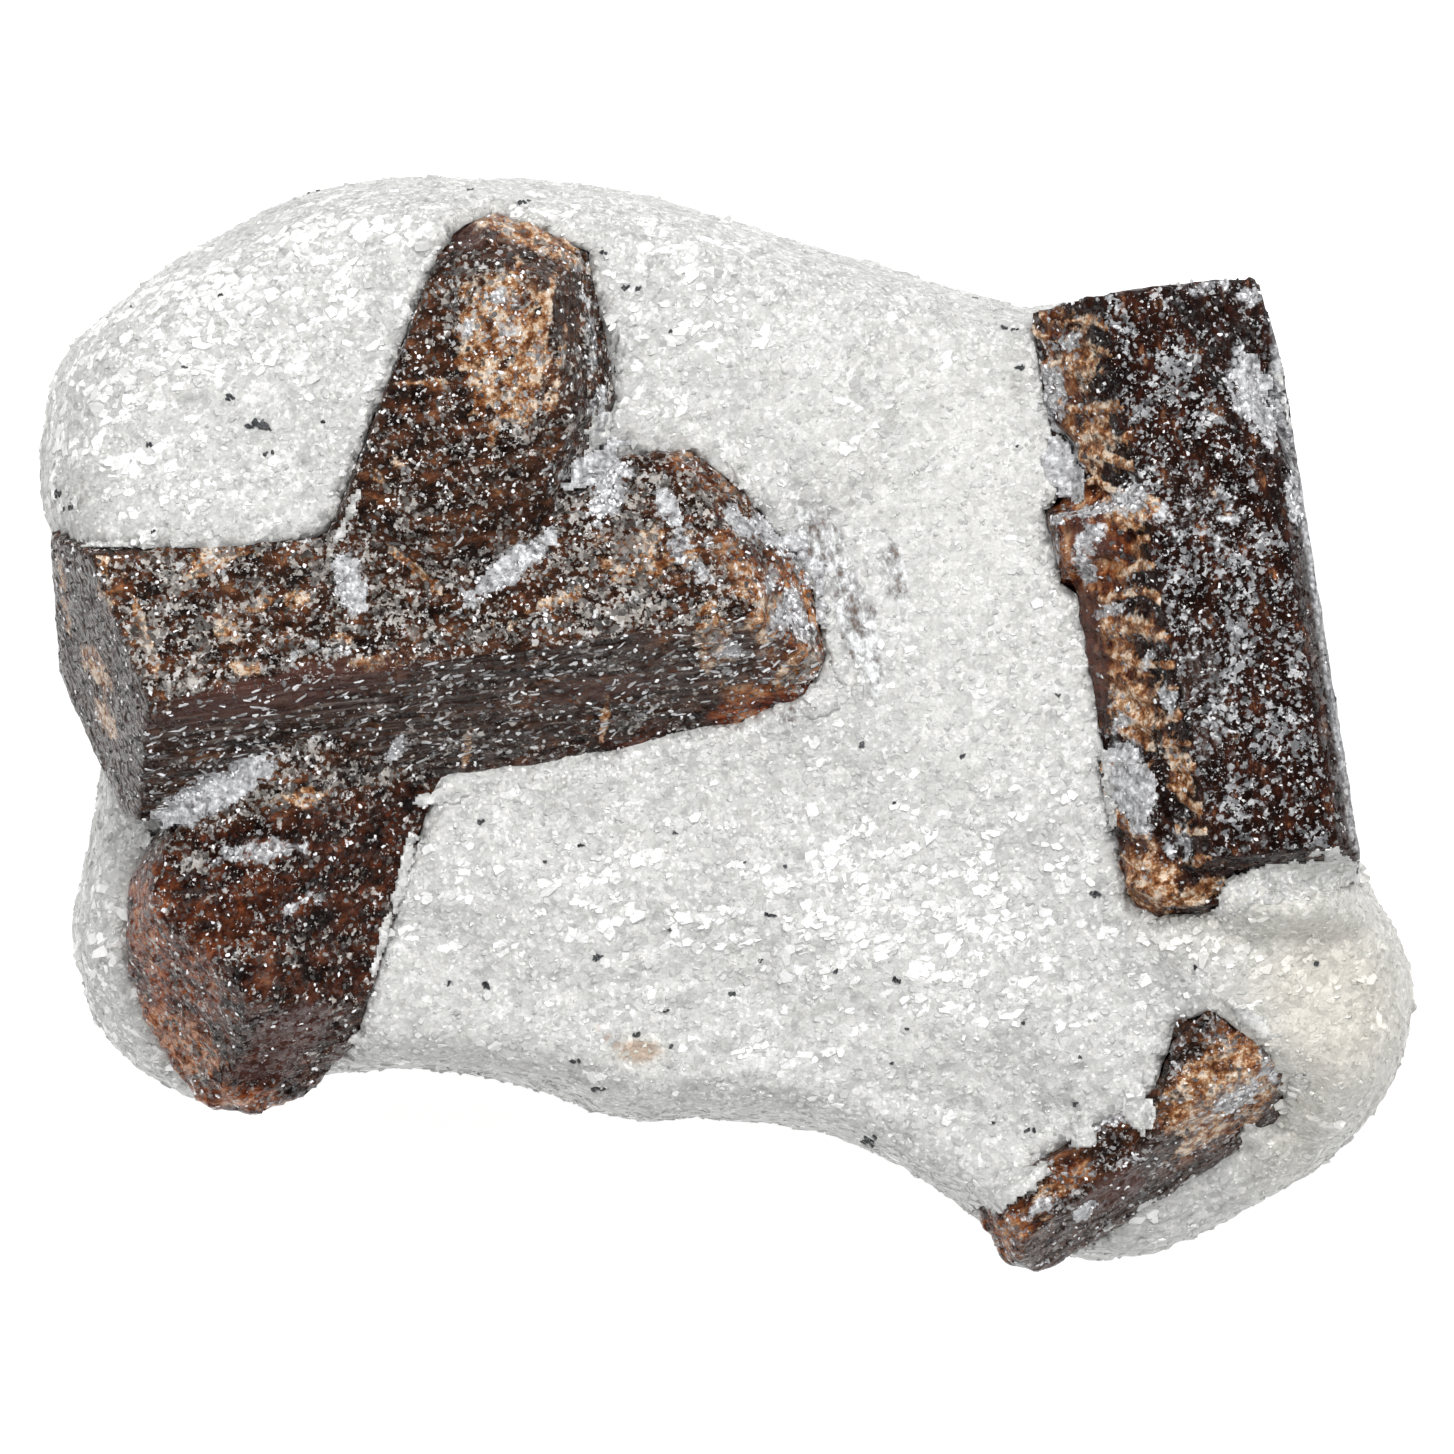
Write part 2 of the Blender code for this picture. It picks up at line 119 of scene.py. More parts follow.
TAN_PATCHES = [
    (502, 322, 48, 38, 85, 1.05), (525, 384, 46, 26, 76, 1.0), (545, 330, 60, 6, 78, 0.9),
    (560, 372, 40, 5, 80, 0.7), (486, 385, 28, 15, 80, 1.0), (500, 420, 34, 6, 74, 0.9),
    (462, 300, 30, 6, 70, 0.4), (515, 300, 40, 8, 80, 1.1), (535, 440, 20, 5, 70, 0.5),
    (474, 352, 36, 14, 95, 0.9), (550, 402, 30, 9, 70, 0.6), (530, 236, 66, 15, -28, 0.9),
    (478, 222, 22, 12, 10, 0.8), (796, 668, 40, 12, 40, 0.75), (758, 612, 46, 14, 110, 0.7),
    (228, 553, 40, 9, 4, 0.8), (640, 545, 40, 14, 20, 0.6), (108, 582, 40, 10, 100, 0.5),
    (307, 797, 28, 10, 5, 0.9), (273, 848, 16, 8, 20, 1.0), (182, 1042, 60, 22, -40, 0.8),
    (235, 1098, 60, 14, -8, 0.6), (145, 930, 60, 14, 95, 0.5), (1078, 360, 46, 22, 100, 0.55),
    (1094, 440, 40, 22, 100, 0.7), (1122, 640, 66, 26, 100, 0.4), (1175, 770, 40, 14, 100, 0.75),
    (1196, 893, 26, 13, 20, 0.9), (1132, 708, 44, 26, 100, 0.85), (1153, 886, 34, 30, 100, 0.8),
    (1222, 1088, 62, 38, 40, 1.2), (1215, 1130, 56, 8, 33, 1.0), (1000, 1228, 18, 10, 60, 0.4),
    (1046, 1222, 16, 8, 60, 0.5), (1128, 512, 26, 17, 0, 1.2), (1052, 1190, 26, 16, 40, 0.7),
    (1255, 1060, 30, 20, -50, 0.6), (418, 571, 46, 4, -42, 1.0), (428, 386, 36, 4, 2, 0.8),
    (605, 720, 22, 4, 80, 0.9), (468, 745, 24, 4, 82, 0.8), (98, 668, 30, 10, 120, 0.9),
    (106, 718, 20, 9, 110, 0.9), (66, 600, 40, 5, 95, 0.6), (150, 640, 60, 6, 108, 0.8),
    (390, 470, 20, 14, 60, 0.4), (232, 632, 18, 11, -20, 1.0), (262, 605, 14, 9, 40, 0.9),
    (300, 600, 14, 10, 0, 0.8), (205, 570, 22, 9, 10, 0.9), (345, 640, 11, 8, 0, 0.8),
    (560, 600, 20, 10, 20, 0.8), (620, 575, 16, 10, 60, 0.8), (525, 560, 11, 8, 0, 0.8),
    (690, 560, 15, 9, 40, 0.8), (250, 668, 15, 8, 0, 0.9), (640, 560, 60, 30, 10, 0.5),
    (715, 640, 44, 20, 100, 0.65), (380, 662, 40, 10, 8, 0.65), (500, 620, 50, 20, 8, 0.3),
    (1218, 505, 26, 4, -50, 0.7),
]
# Grey places: grey staurolite, and on the tip of the upper arm and on the long crystal a painted sheen
GREY_AND_SHEEN_PATCHES = [
    (490, 276, 46, 22, 5, 0.5), (350, 1030, 70, 13, 62, 0.7), (1190, 700, 90, 44, 100, 0.5),
    (1180, 500, 60, 40, 100, 0.35), (1150, 1195, 60, 10, 33, 0.8), (560, 330, 80, 24, 96, 0.5),
]
PLUM_PATCHES = [
    (290, 1035, 44, 24, 35, 1.1), (262, 1070, 34, 12, 5, 0.9), (1112, 1190, 36, 15, 33, 1.2),
    (1225, 1126, 40, 12, 33, 0.45), (290, 690, 150, 22, 12, 0.75), (470, 240, 16, 16, 0, 1.0),
    (500, 262, 40, 12, 0, 0.3), (1086, 540, 40, 30, 100, 0.6), (1091, 650, 74, 12, 98, 0.9),
    (600, 690, 90, 16, 8, 0.5),
]
RED_PATCHES = [
    (1090, 545, 52, 36, 100, 1.2), (150, 970, 120, 26, 95, 0.9), (240, 930, 120, 80, 95, 0.3),
    (200, 985, 46, 32, 95, 0.6), (1000, 1235, 34, 24, 30, 1.0), (1210, 1140, 50, 10, 33, 0.9),
    (1140, 880, 46, 40, 100, 0.6), (1062, 380, 90, 22, 100, 0.5), (1108, 640, 100, 24, 100, 0.55),
    (800, 640, 76, 40, 102, 1.6), (775, 695, 60, 24, 25, 1.5), (700, 470, 60, 22, -30, 0.6),
    (240, 1100, 70, 14, -5, 0.7), (160, 1060, 50, 24, -50, 0.6), (745, 560, 60, 26, -60, 0.6),
    (530, 240, 50, 14, -25, 0.7), (1250, 1050, 40, 24, -50, 0.8), (1060, 1180, 40, 20, 40, 0.7),
]

# Broken ground on the crystals, in the same form
ROUGH_PATCHES = [
    (790, 630, 100, 50, 100, 1.0), (690, 470, 120, 34, -25, 1.0), (510, 235, 90, 30, -15, 0.9),
    (165, 1060, 90, 60, -45, 0.8), (250, 1090, 90, 34, 0, 0.8), (610, 480, 50, 36, 20, 1.0),
    (1100, 540, 60, 50, 100, 0.9), (1150, 890, 50, 40, 10, 0.9), (1060, 300, 60, 20, 20, 0.5),
    (1180, 1040, 80, 50, 50, 1.0), (1020, 1210, 60, 30, 30, 0.8), (400, 560, 70, 60, 30, 0.6),
    (350, 750, 60, 26, 40, 0.7), (200, 830, 60, 20, 30, 0.7), (1240, 900, 60, 20, 0, 0.8),
]

# Corners broken away, where the strength is a depth in mm
DENTS = [
    (1285, 402, 52, 24, 108, 1.0), (1056, 466, 36, 14, 105, 0.9), (1230, 898, 50, 14, 10, 0.5),
    (1128, 1090, 24, 14, 30, 0.5), (1030, 1180, 24, 10, 30, 0.5),
]

# Places where the outside bulges a little, or sinks, where the strength is a height in mm
SWELLS = [
    (215, 1100, 110, 34, -10, 0.22), (985, 1245, 34, 34, 50, 0.22), (1252, 280, 34, 22, -40, -0.25),
    (1030, 300, 20, 16, 40, -0.2),
]

# Ground that lies lower beside the crystals, or higher, where the strength is a depth in mm
DIPS = [
    (1180, 1205, 96, 26, 30, 1.4), (1292, 1112, 46, 26, 70, 1.3), (392, 352, 150, 36, 68, -0.65),
    (1290, 902, 70, 24, 0, -2.2), (640, 430, 60, 16, 20, -0.3), (540, 768, 130, 18, 13, 0.4),
]

# Sheets of mica grown over the crystals, in the form of the blotches
CRUSTS = [
    (352, 583, 34, 14, 112, 0.85), (506, 571, 56, 14, 38, 0.8), (214, 794, 66, 18, 27, 0.85),
    (398, 748, 14, 10, 60, 0.85), (596, 468, 34, 16, 35, 1.0), (735, 520, 24, 10, 130, 0.8),
    (1130, 785, 48, 22, 100, 1.0), (1062, 468, 38, 20, 105, 1.0), (1254, 402, 52, 20, 112, 0.8),
    (602, 410, 34, 8, 80, 0.7), (1128, 498, 18, 12, 20, 0.8), (1085, 1210, 14, 9, 30, 0.8),
    (668, 508, 20, 10, 110, 0.8), (806, 556, 42, 12, 122, 0.7), (780, 612, 24, 10, 70, 0.7),
    (770, 536, 20, 9, 130, 0.7), (820, 600, 36, 8, 100, 0.8),
]

# Schist left standing over the rims of the crystals, in the same form
EDGINGS = [
    (1300, 876, 60, 20, 10, 1.2), (1240, 892, 34, 16, 40, 1.2), (1006, 1188, 38, 16, 22, 1.2),
    (1081, 1131, 16, 15, 110, 1.2), (1137, 1110, 24, 14, 110, 1.2), (1150, 1078, 12, 10, 60, 0.9),
    (1250, 1020, 26, 10, -40, 1.1), (1295, 1086, 20, 9, 60, 0.9), (598, 436, 24, 12, 60, 1.0),
    (838, 650, 60, 11, 108, 1.0), (818, 706, 26, 10, 20, 1.0), (740, 478, 26, 7, -50, 0.8),
    (1062, 456, 30, 10, 105, 0.9), (440, 798, 34, 9, 12, 0.9), (142, 838, 12, 12, 0, 1.0),
    (110, 545, 40, 5, 0, 0.8), (402, 880, 40, 7, 78, 1.0), (620, 358, 36, 6, 84, 0.9),
    (382, 945, 44, 6, 74, 1.0), (1284, 405, 34, 8, 106, 0.8), (352, 515, 34, 7, 62, 0.9),
    (1108, 790, 40, 8, 98, 0.8),
]

# Tints of the schist, in the same form
RIDGED_PATCHES = [
    (822, 548, 40, 20, 110, 1.3), (858, 628, 66, 18, 105, 1.1), (893, 572, 40, 16, 100, 0.7),
    (790, 716, 50, 10, 12, 0.7), (610, 448, 26, 12, 20, 0.6),
]
STAIN_PATCHES = [
    (640, 1050, 22, 11, 0, 1.0), (608, 1036, 20, 3, -48, 0.9), (636, 958, 6, 4, 0, 0.7),
]
DULL_PATCHES = [
    (540, 1060, 190, 26, -8, 0.45), (450, 1003, 70, 18, 0, 0.4), (50, 510, 26, 14, 100, 0.5),
    (1190, 1215, 120, 24, 28, 0.35), (700, 1090, 160, 22, -3, 0.35), (80, 500, 30, 22, 100, 0.7),
    (640, 1048, 26, 12, -5, 0.5), (500, 800, 120, 26, 8, 0.35), (250, 430, 60, 16, -25, 0.35),
    (110, 870, 60, 22, 100, 0.3), (1040, 360, 40, 16, 100, 0.5), (1020, 395, 66, 16, 98, 0.5),
    (1170, 1225, 110, 26, 28, 0.5), (620, 440, 34, 16, 30, 0.6),
]
CREAM_PATCHES = [
    (1330, 1000, 110, 90, 100, 0.75), (1250, 920, 90, 40, 0, 0.5), (1300, 1120, 70, 40, 60, 0.5),
    (640, 1050, 24, 12, 0, 1.0),
]
# Paler schist; the last patch, beside the end of the corner crystal, is painted light that lifts the shade of
# the dip there
PALE_AND_LIT_PATCHES = [
    (960, 480, 150, 80, 100, 1.0), (868, 480, 44, 40, 0, 1.0), (940, 760, 110, 44, 90, 0.8),
    (860, 980, 70, 50, 0, 0.5), (745, 965, 70, 22, 0, 0.8), (900, 1035, 90, 36, -20, 0.8),
    (820, 400, 90, 50, -40, 0.7), (1010, 700, 80, 40, 95, 0.5), (1325, 1000, 100, 80, 100, 1.1),
    (1312, 1092, 40, 34, 0, 1.3),
]

# Where white mica lies thickest on the rock
BRIGHT_PATCHES = [
    (240, 320, 230, 90, 34, 1.0), (130, 430, 80, 80, 0, 0.8), (600, 230, 120, 46, -10, 0.8),
    (745, 225, 40, 14, -20, 0.9), (930, 900, 160, 90, 15, 1.0), (820, 850, 60, 30, 15, 0.8),
    (700, 925, 60, 24, 0, 0.7), (100, 950, 110, 26, 95, 0.9), (868, 680, 60, 16, 60, 0.9),
    (580, 900, 70, 50, 0, 0.5), (1240, 960, 90, 30, 0, 0.5), (880, 1100, 90, 30, -20, 0.6),
    (460, 900, 60, 60, 0, 0.5), (1060, 850, 50, 60, 0, 0.6), (690, 320, 80, 40, 0, 0.4),
]

# Dark grains in the schist: pixel x and y, length in pixels
DARK_GRAINS = [
    (233, 399, 13), (263, 427, 24), (152, 446, 9), (270, 455, 9), (60, 496, 17), (72, 508, 13), (105, 319, 8),
    (134, 307, 6), (224, 298, 6), (187, 369, 6), (326, 424, 6), (157, 533, 8), (525, 205, 10), (604, 255, 9),
    (625, 291, 10), (636, 291, 8), (671, 333, 6), (862, 745, 10), (960, 756, 8), (894, 802, 6), (786, 866, 7),
    (770, 914, 10), (675, 832, 6), (581, 845, 7), (744, 862, 5), (669, 929, 7), (598, 957, 12), (835, 971, 7),
    (896, 979, 11), (731, 994, 11), (666, 1010, 6), (759, 960, 6), (892, 1062, 6), (907, 1028, 6),
    (1024, 1022, 7), (636, 1034, 9), (670, 1046, 8), (868, 1140, 22), (1030, 1129, 9), (1073, 1103, 7),
    (1193, 966, 6), (1312, 963, 9), (1078, 1056, 6), (993, 1123, 6), (1002, 329, 9), (1013, 331, 7),
    (1019, 370, 10), (1015, 448, 6), (1050, 505, 6), (1059, 696, 6), (1094, 893, 13), (480, 822, 10),
    (450, 983, 7), (487, 985, 13), (600, 1088, 16), (545, 862, 6), (575, 1060, 9),
]

# The upper arm of the cross, in the form of the blotches
HIGH_ARM = [(470, 370, 200, 110, 70, 1.0)]


def blotches(points, patches):
    """How strongly each point, in mm, lies in the blotches: 0 outside to about 1 inside."""
    strength = np.zeros(len(points))
    for px, py, half_length, half_width, degrees, level in patches:
        x, y = from_photo(px, py)
        turn = math.radians(degrees)
        dx = points[:, 0] - x
        dy = points[:, 1] - y
        along = (dx * math.cos(turn) + dy * math.sin(turn)) / (half_length * PIXEL)
        across = (dy * math.cos(turn) - dx * math.sin(turn)) / (half_width * PIXEL)
        reach = np.sqrt(along ** 2 + across ** 2)
        value = level * np.clip(1.5 - reach, 0.0, 1.0)
        strength = np.where(np.abs(value) > np.abs(strength), value, strength)
    return strength


def smoothstep(low, high, value):
    t = np.clip((value - low) / (high - low), 0.0, 1.0)
    return t * t * (3.0 - 2.0 * t)


def lumps(points, size, seed):
    """Smooth noise between -1 and 1 with features of about the given size in mm."""
    scaled = points / size + seed
    return np.array([noise.noise(p) for p in scaled.tolist()])


def pits(points, size, seed, level):
    """How far the noise rises above a level, for hollows that stand apart."""
    return np.clip(lumps(points, size, seed) - level, 0.0, 1.0)


def turned(points, degrees):
    """Points turned so that the given direction comes to lie along X."""
    turn = math.radians(degrees)
    result = points.copy()
    result[:, 0] = points[:, 0] * math.cos(turn) + points[:, 1] * math.sin(turn)
    result[:, 1] = points[:, 1] * math.cos(turn) - points[:, 0] * math.sin(turn)
    return result


def get_points(mesh):
    flat = np.empty(len(mesh.vertices) * 3)
    mesh.vertices.foreach_get("co", flat)
    return flat.reshape(-1, 3) / MM


def get_normals(mesh):
    flat = np.empty(len(mesh.vertices) * 3)
    mesh.vertex_normals.foreach_get("vector", flat)
    return flat.reshape(-1, 3)


def set_points(mesh, points):
    mesh.vertices.foreach_set("co", (points * MM).ravel())
    mesh.update()


def set_values(mesh, values):
    for name, numbers in values.items():
        attribute = mesh.attributes.new(name, "FLOAT", "POINT")
        attribute.data.foreach_set("value", np.asarray(numbers, dtype=np.float32))


def new_object(name, mesh):
    obj = bpy.data.objects.new(name, mesh)
    bpy.context.scene.collection.objects.link(obj)
    return obj


def fine_copy(node, name, voxel):
    """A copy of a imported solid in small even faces, whose edges are worn by about a face."""
    rough = new_object(f"{name}_rough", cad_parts[node].data.copy())
    remesh = rough.modifiers.new("remesh", "REMESH")
    remesh.mode = "VOXEL"
    remesh.voxel_size = voxel * MM
    smooth = rough.modifiers.new("smooth", "SMOOTH")
    smooth.factor = 0.5
    smooth.iterations = 2
    depsgraph = bpy.context.evaluated_depsgraph_get()
    mesh = bpy.data.meshes.new_from_object(rough.evaluated_get(depsgraph))
    bpy.data.objects.remove(rough, do_unlink=True)
    mesh.shade_smooth()
    mesh.materials.clear()
    return new_object(name, mesh)


def tree_of(node):
    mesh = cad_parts[node].data
    corners = [tuple(vertex.co / MM) for vertex in mesh.vertices]
    return BVHTree.FromPolygons(corners, [tuple(face.vertices) for face in mesh.polygons])


def surface_tree(obj):
    return BVHTree.FromObject(obj, bpy.context.evaluated_depsgraph_get())


def drop(tree, x, y):
    """Place in metres, and its normal, where a plumb line through x and y in mm meets a surface."""
    place, normal, _, _ = tree.ray_cast(Vector((x * MM, y * MM, PLUMB_HEIGHT)), Vector((0.0, 0.0, -1.0)))
    return place, normal


def nearest(tree, points):
    """Closest place on a solid to each point, with its outward normal and its distance."""
    places = np.empty_like(points)
    normals = np.empty_like(points)
    distances = np.empty(len(points))
    for index, point in enumerate(points.tolist()):
        place, normal, _, distance = tree.find_nearest(point)
        places[index] = place
        normals[index] = normal
        distances[index] = distance
    return places, normals, distances


def facing(normals, azimuth, tilt, tightness=0.96):
    """1 where a normal points close to the given direction, 0 elsewhere."""
    lean = math.radians(tilt)
    turn = math.radians(azimuth)
    wanted = np.array((math.sin(lean) * math.cos(turn), math.sin(lean) * math.sin(turn), math.cos(lean)))
    return smoothstep(tightness - 0.03, tightness, normals @ wanted)


# Shader helpers
def shader_tree(name):
    material = bpy.data.materials.new(name)
    material.use_nodes = True
    material.node_tree.nodes.clear()
    return material, material.node_tree


def add(tree, kind, inputs=None, **settings):
    made = tree.nodes.new(f"ShaderNode{kind}")
    for key, value in settings.items():
        setattr(made, key, value)
    for key, value in (inputs or {}).items():
        if isinstance(value, bpy.types.NodeSocket):
            tree.links.new(value, made.inputs[key])
        else:
            made.inputs[key].default_value = value
    return made


def calc(tree, operation, first, second, third=0.0):
    return add(tree, "Math", {0: first, 1: second, 2: third}, operation=operation).outputs[0]


def times(tree, first, second):
    return calc(tree, "MULTIPLY", first, second)


def vector_calc(tree, operation, first, second=None, scale=None):
    inputs = {0: first}
    if second is not None:
        inputs[1] = second
    if scale is not None:
        inputs["Scale"] = scale
    made = add(tree, "VectorMath", inputs, operation=operation)
    return made.outputs["Value"] if operation == "DOT_PRODUCT" else made.outputs["Vector"]


def blend_colour(tree, factor, first, second, how="MIX"):
    made = add(tree, "Mix", {"Factor": factor}, data_type="RGBA", blend_type=how)
    for socket, value in ((made.inputs[6], first), (made.inputs[7], second)):
        if isinstance(value, bpy.types.NodeSocket):
            tree.links.new(value, socket)
        else:
            socket.default_value = (*value, 1.0)
    return made.outputs[2]


def tint(tree, colour, mask, share, tone, how="MIX"):
    """A colour with a tone laid over it by a share of a mask."""
    return blend_colour(tree, times(tree, mask, share), colour, tone, how)


def ramp(tree, factor, stops):
    made = add(tree, "ValToRGB", {"Fac": factor})
    elements = made.color_ramp.elements
    while len(elements) < len(stops):
        elements.new(0.5)
    for element, (position, colour) in zip(elements, stops):
        element.position = position
        element.color = (*colour, 1.0)
    return made.outputs["Color"]


def between(tree, value, low, high, how="SMOOTHSTEP"):
    """A value brought from 0 at low to 1 at high."""
    made = add(tree, "MapRange", {"Value": value, "From Min": low, "From Max": high}, interpolation_type=how)
    return made.outputs["Result"]


def channel(tree, colour, name):
    return add(tree, "SeparateColor", {"Color": colour}).outputs[name]


def position_mm(tree):
    """Place on the object in millimetres."""
    coordinates = add(tree, "TexCoord").outputs["Object"]
    return vector_calc(tree, "SCALE", coordinates, scale=1000.0)


def stretched(tree, position, degrees, along, across):
    """Position turned so that a prism's axis lies along X, then scaled along and across it."""
    made = add(tree, "Mapping", {"Vector": position, "Rotation": (0.0, 0.0, math.radians(-degrees))})
    return vector_calc(tree, "MULTIPLY", made.outputs["Vector"], (along, across, across))


def noise_value(tree, position, scale, detail=3.0, roughness=0.55):
    inputs = {"Vector": position, "Scale": scale, "Detail": detail, "Roughness": roughness}
    return add(tree, "TexNoise", inputs).outputs["Fac"]


def facets(tree, position, scale, slope):
    """Height in mm of a crumb of tiny tilted facets, and each facet's random colour."""
    cells = add(tree, "TexVoronoi", {"Vector": position, "Scale": scale, "Randomness": 1.0})
    offset = vector_calc(tree, "SUBTRACT", position, cells.outputs["Position"])
    lean = vector_calc(tree, "SUBTRACT", cells.outputs["Color"], (0.5, 0.5, 0.5))
    height = vector_calc(tree, "DOT_PRODUCT", lean, offset)
    return times(tree, height, slope), cells.outputs["Color"]


def attribute(tree, name):
    return add(tree, "Attribute", attribute_name=name).outputs["Fac"]


def masked(tree, name, position, scale, edge=0.5, softness=0.12, swing=0.9):
    """A blotch attribute broken up by noise into a ragged patch."""
    wobble = calc(tree, "SUBTRACT", noise_value(tree, position, scale, 4.0, 0.65), 0.5)
    level = calc(tree, "MULTIPLY_ADD", wobble, swing, attribute(tree, name))
    return between(tree, level, edge - softness, edge + softness)


def finish_shader(tree, colour, roughness, height_mm, specular=0.5):
    """Principled shader whose relief is a height in millimetres."""
    height = times(tree, height_mm, MM)
    bump = add(tree, "Bump", {"Height": height, "Strength": 1.0, "Distance": 1.0})
    shader = add(tree, "BsdfPrincipled", {
        "Base Color": colour, "Roughness": roughness, "Normal": bump.outputs["Normal"]})
    shader.inputs["Specular IOR Level"].default_value = specular
    add(tree, "OutputMaterial", {"Surface": shader.outputs["BSDF"]})


# Materials
def schist_material():
    """Pale sugary schist with darker folds, ridged grey ground, cream ground, a tan stain and tiny painted
    glints.
    """
    material, tree = shader_tree("schist_grain")
    position = position_mm(tree)
    relief, grains = facets(tree, position, 3.2, 0.62)
    fine_relief, fine = facets(tree, position, 7.0, 0.55)
    colour = ramp(tree, channel(tree, grains, "Red"), [
        (0.0, (0.50, 0.505, 0.495)), (0.35, (0.56, 0.56, 0.545)),
        (0.8, (0.62, 0.615, 0.60)), (1.0, (0.72, 0.72, 0.71))])
    # Fine grain tone; its top stop, brighter than white, makes tiny white dots that are painted glints
    fine_grain_and_glints = ramp(tree, channel(tree, fine, "Green"), [
        (0.0, (0.76,) * 3), (0.55, (1.0,) * 3), (0.88, (1.10,) * 3), (0.93, (1.55,) * 3)])
    colour = blend_colour(tree, 0.8, colour, fine_grain_and_glints, "MULTIPLY")
    cloud = noise_value(tree, stretched(tree, position, 15.0, 0.55, 1.0), 1.8, 4.0, 0.68)
    shade = ramp(tree, cloud, [(0.34, (0.78, 0.785, 0.78)), (0.5, (1.0,) * 3), (0.66, (1.16,) * 3)])
    colour = blend_colour(tree, 0.9, colour, shade, "MULTIPLY")
    # Paler places of the schist, one of them painted light over a shaded dip
    colour = tint(tree, colour, attribute(tree, "pale"), 0.5, (0.70, 0.695, 0.675))
    layer = noise_value(tree, stretched(tree, position, -8.0, 0.3, 2.2), 1.0, 4.0, 0.65)
    layer_tone = ramp(tree, layer, [
        (0.38, (0.27, 0.265, 0.255)), (0.5, (0.47, 0.465, 0.45)), (0.62, (0.68, 0.68, 0.66))])
    colour = blend_colour(tree, masked(tree, "dull", position, 1.2, 0.5, 0.35, 1.2), colour, layer_tone)
    ridge = noise_value(tree, stretched(tree, position, 104.0, 0.65, 1.15), 2.0, 4.0, 0.72)
    ridge_tone = ramp(tree, ridge, [
        (0.36, (0.16, 0.12, 0.10)), (0.42, (0.27, 0.265, 0.265)),
        (0.50, (0.46, 0.46, 0.46)), (0.58, (0.80, 0.81, 0.82))])
    colour = blend_colour(tree, masked(tree, "ridged", position, 1.2, 0.5, 0.2, 1.4), colour, ridge_tone)
    colour = tint(tree, colour, attribute(tree, "cream"), 0.8, (0.93, 0.87, 0.76), "MULTIPLY")
    stain = masked(tree, "stain", position, 2.0, 0.5, 0.3, 1.0)
    colour = tint(tree, colour, stain, 0.8, (0.78, 0.60, 0.50), "MULTIPLY")
    finish_shader(tree, colour, 0.4, calc(tree, "ADD", relief, fine_relief))
    return material


def flake_material(name, darkest, lightest, roughness):
    material, tree = shader_tree(name)
    position = position_mm(tree)
    medium = tuple(0.5 * (a + b) for a, b in zip(darkest, lightest))
    colour = ramp(tree, attribute(tree, "tone"), [(0.0, darkest), (0.55, medium), (1.0, lightest)])
    streak = ramp(tree, noise_value(tree, position, 4.0), [(0.3, (0.8,) * 3), (0.7, (1.1,) * 3)])
    colour = blend_colour(tree, 0.35, colour, streak, "MULTIPLY")
    colour = tint(tree, colour, attribute(tree, "cream"), 0.8, (0.96, 0.91, 0.80), "MULTIPLY")
    height = times(tree, noise_value(tree, position, 5.0, 2.0), 0.05)
    finish_shader(tree, colour, roughness, height, 0.6)
    return material


def staurolite_colour(tree, position, axis, dark, middle, crumb):
    """Body colour with its rust, grey, tan, plum and banded places, and the grey and plum masks."""
    cloud = noise_value(tree, stretched(tree, position, axis, 0.5, 1.0), 1.3, 5.0, 0.72)
    colour = ramp(tree, cloud, [
        (0.40, dark), (0.50, middle), (0.60, tuple(2.4 * v for v in middle)), (0.70, (0.24, 0.11, 0.05))])
    grain = ramp(tree, channel(tree, crumb, "Green"), [
        (0.0, (0.35,) * 3), (0.5, (0.85,) * 3), (1.0, (1.7, 1.5, 1.35))])
    colour = blend_colour(tree, 0.8, colour, grain, "MULTIPLY")
    red_tone = ramp(tree, cloud, [
        (0.38, (0.025, 0.006, 0.003)), (0.47, (0.13, 0.030, 0.010)),
        (0.55, (0.38, 0.13, 0.038)), (0.64, (0.66, 0.40, 0.22))])
    colour = tint(tree, colour, masked(tree, "red", position, 0.9, 0.5, 0.35), 0.8, red_tone)
    striped = noise_value(tree, stretched(tree, position, axis, 0.35, 3.2), 1.0, 4.0, 0.65)
    grey_tone = ramp(tree, striped, [
        (0.38, (0.005, 0.003, 0.002)), (0.48, (0.022, 0.010, 0.007)),
        (0.56, (0.060, 0.036, 0.029)), (0.68, (0.20, 0.17, 0.155))])
    # Grey mask, partly grey staurolite and partly painted sheen
    grey = masked(tree, "grey", position, 0.9, 0.5, 0.3, 0.7)
    colour = tint(tree, colour, grey, 0.85, grey_tone)
    tan_tone = ramp(tree, noise_value(tree, position, 1.8, 4.0, 0.7), [
        (0.36, (0.06, 0.02, 0.008)), (0.45, (0.24, 0.085, 0.028)),
        (0.52, (0.49, 0.28, 0.14)), (0.585, (0.80, 0.65, 0.51))])
    colour = tint(tree, colour, masked(tree, "tan", position, 1.3, 0.52, 0.16, 2.2), 0.85, tan_tone)
    plum = masked(tree, "plum", position, 1.0, 0.5, 0.25, 1.0)
    plum_tone = ramp(tree, striped, [(0.35, (0.045, 0.017, 0.013)), (0.6, (0.11, 0.052, 0.042))])
    colour = tint(tree, colour, plum, 0.8, plum_tone)
    colour = tint(tree, colour, attribute(tree, "warm"), 0.8, (0.80, 0.50, 0.40), "MULTIPLY")
    band = between(tree, calc(tree, "MULTIPLY_ADD", cloud, 1.6, attribute(tree, "band")), 1.38, 1.66)
    return tint(tree, colour, band, 0.9, tan_tone), grey, plum


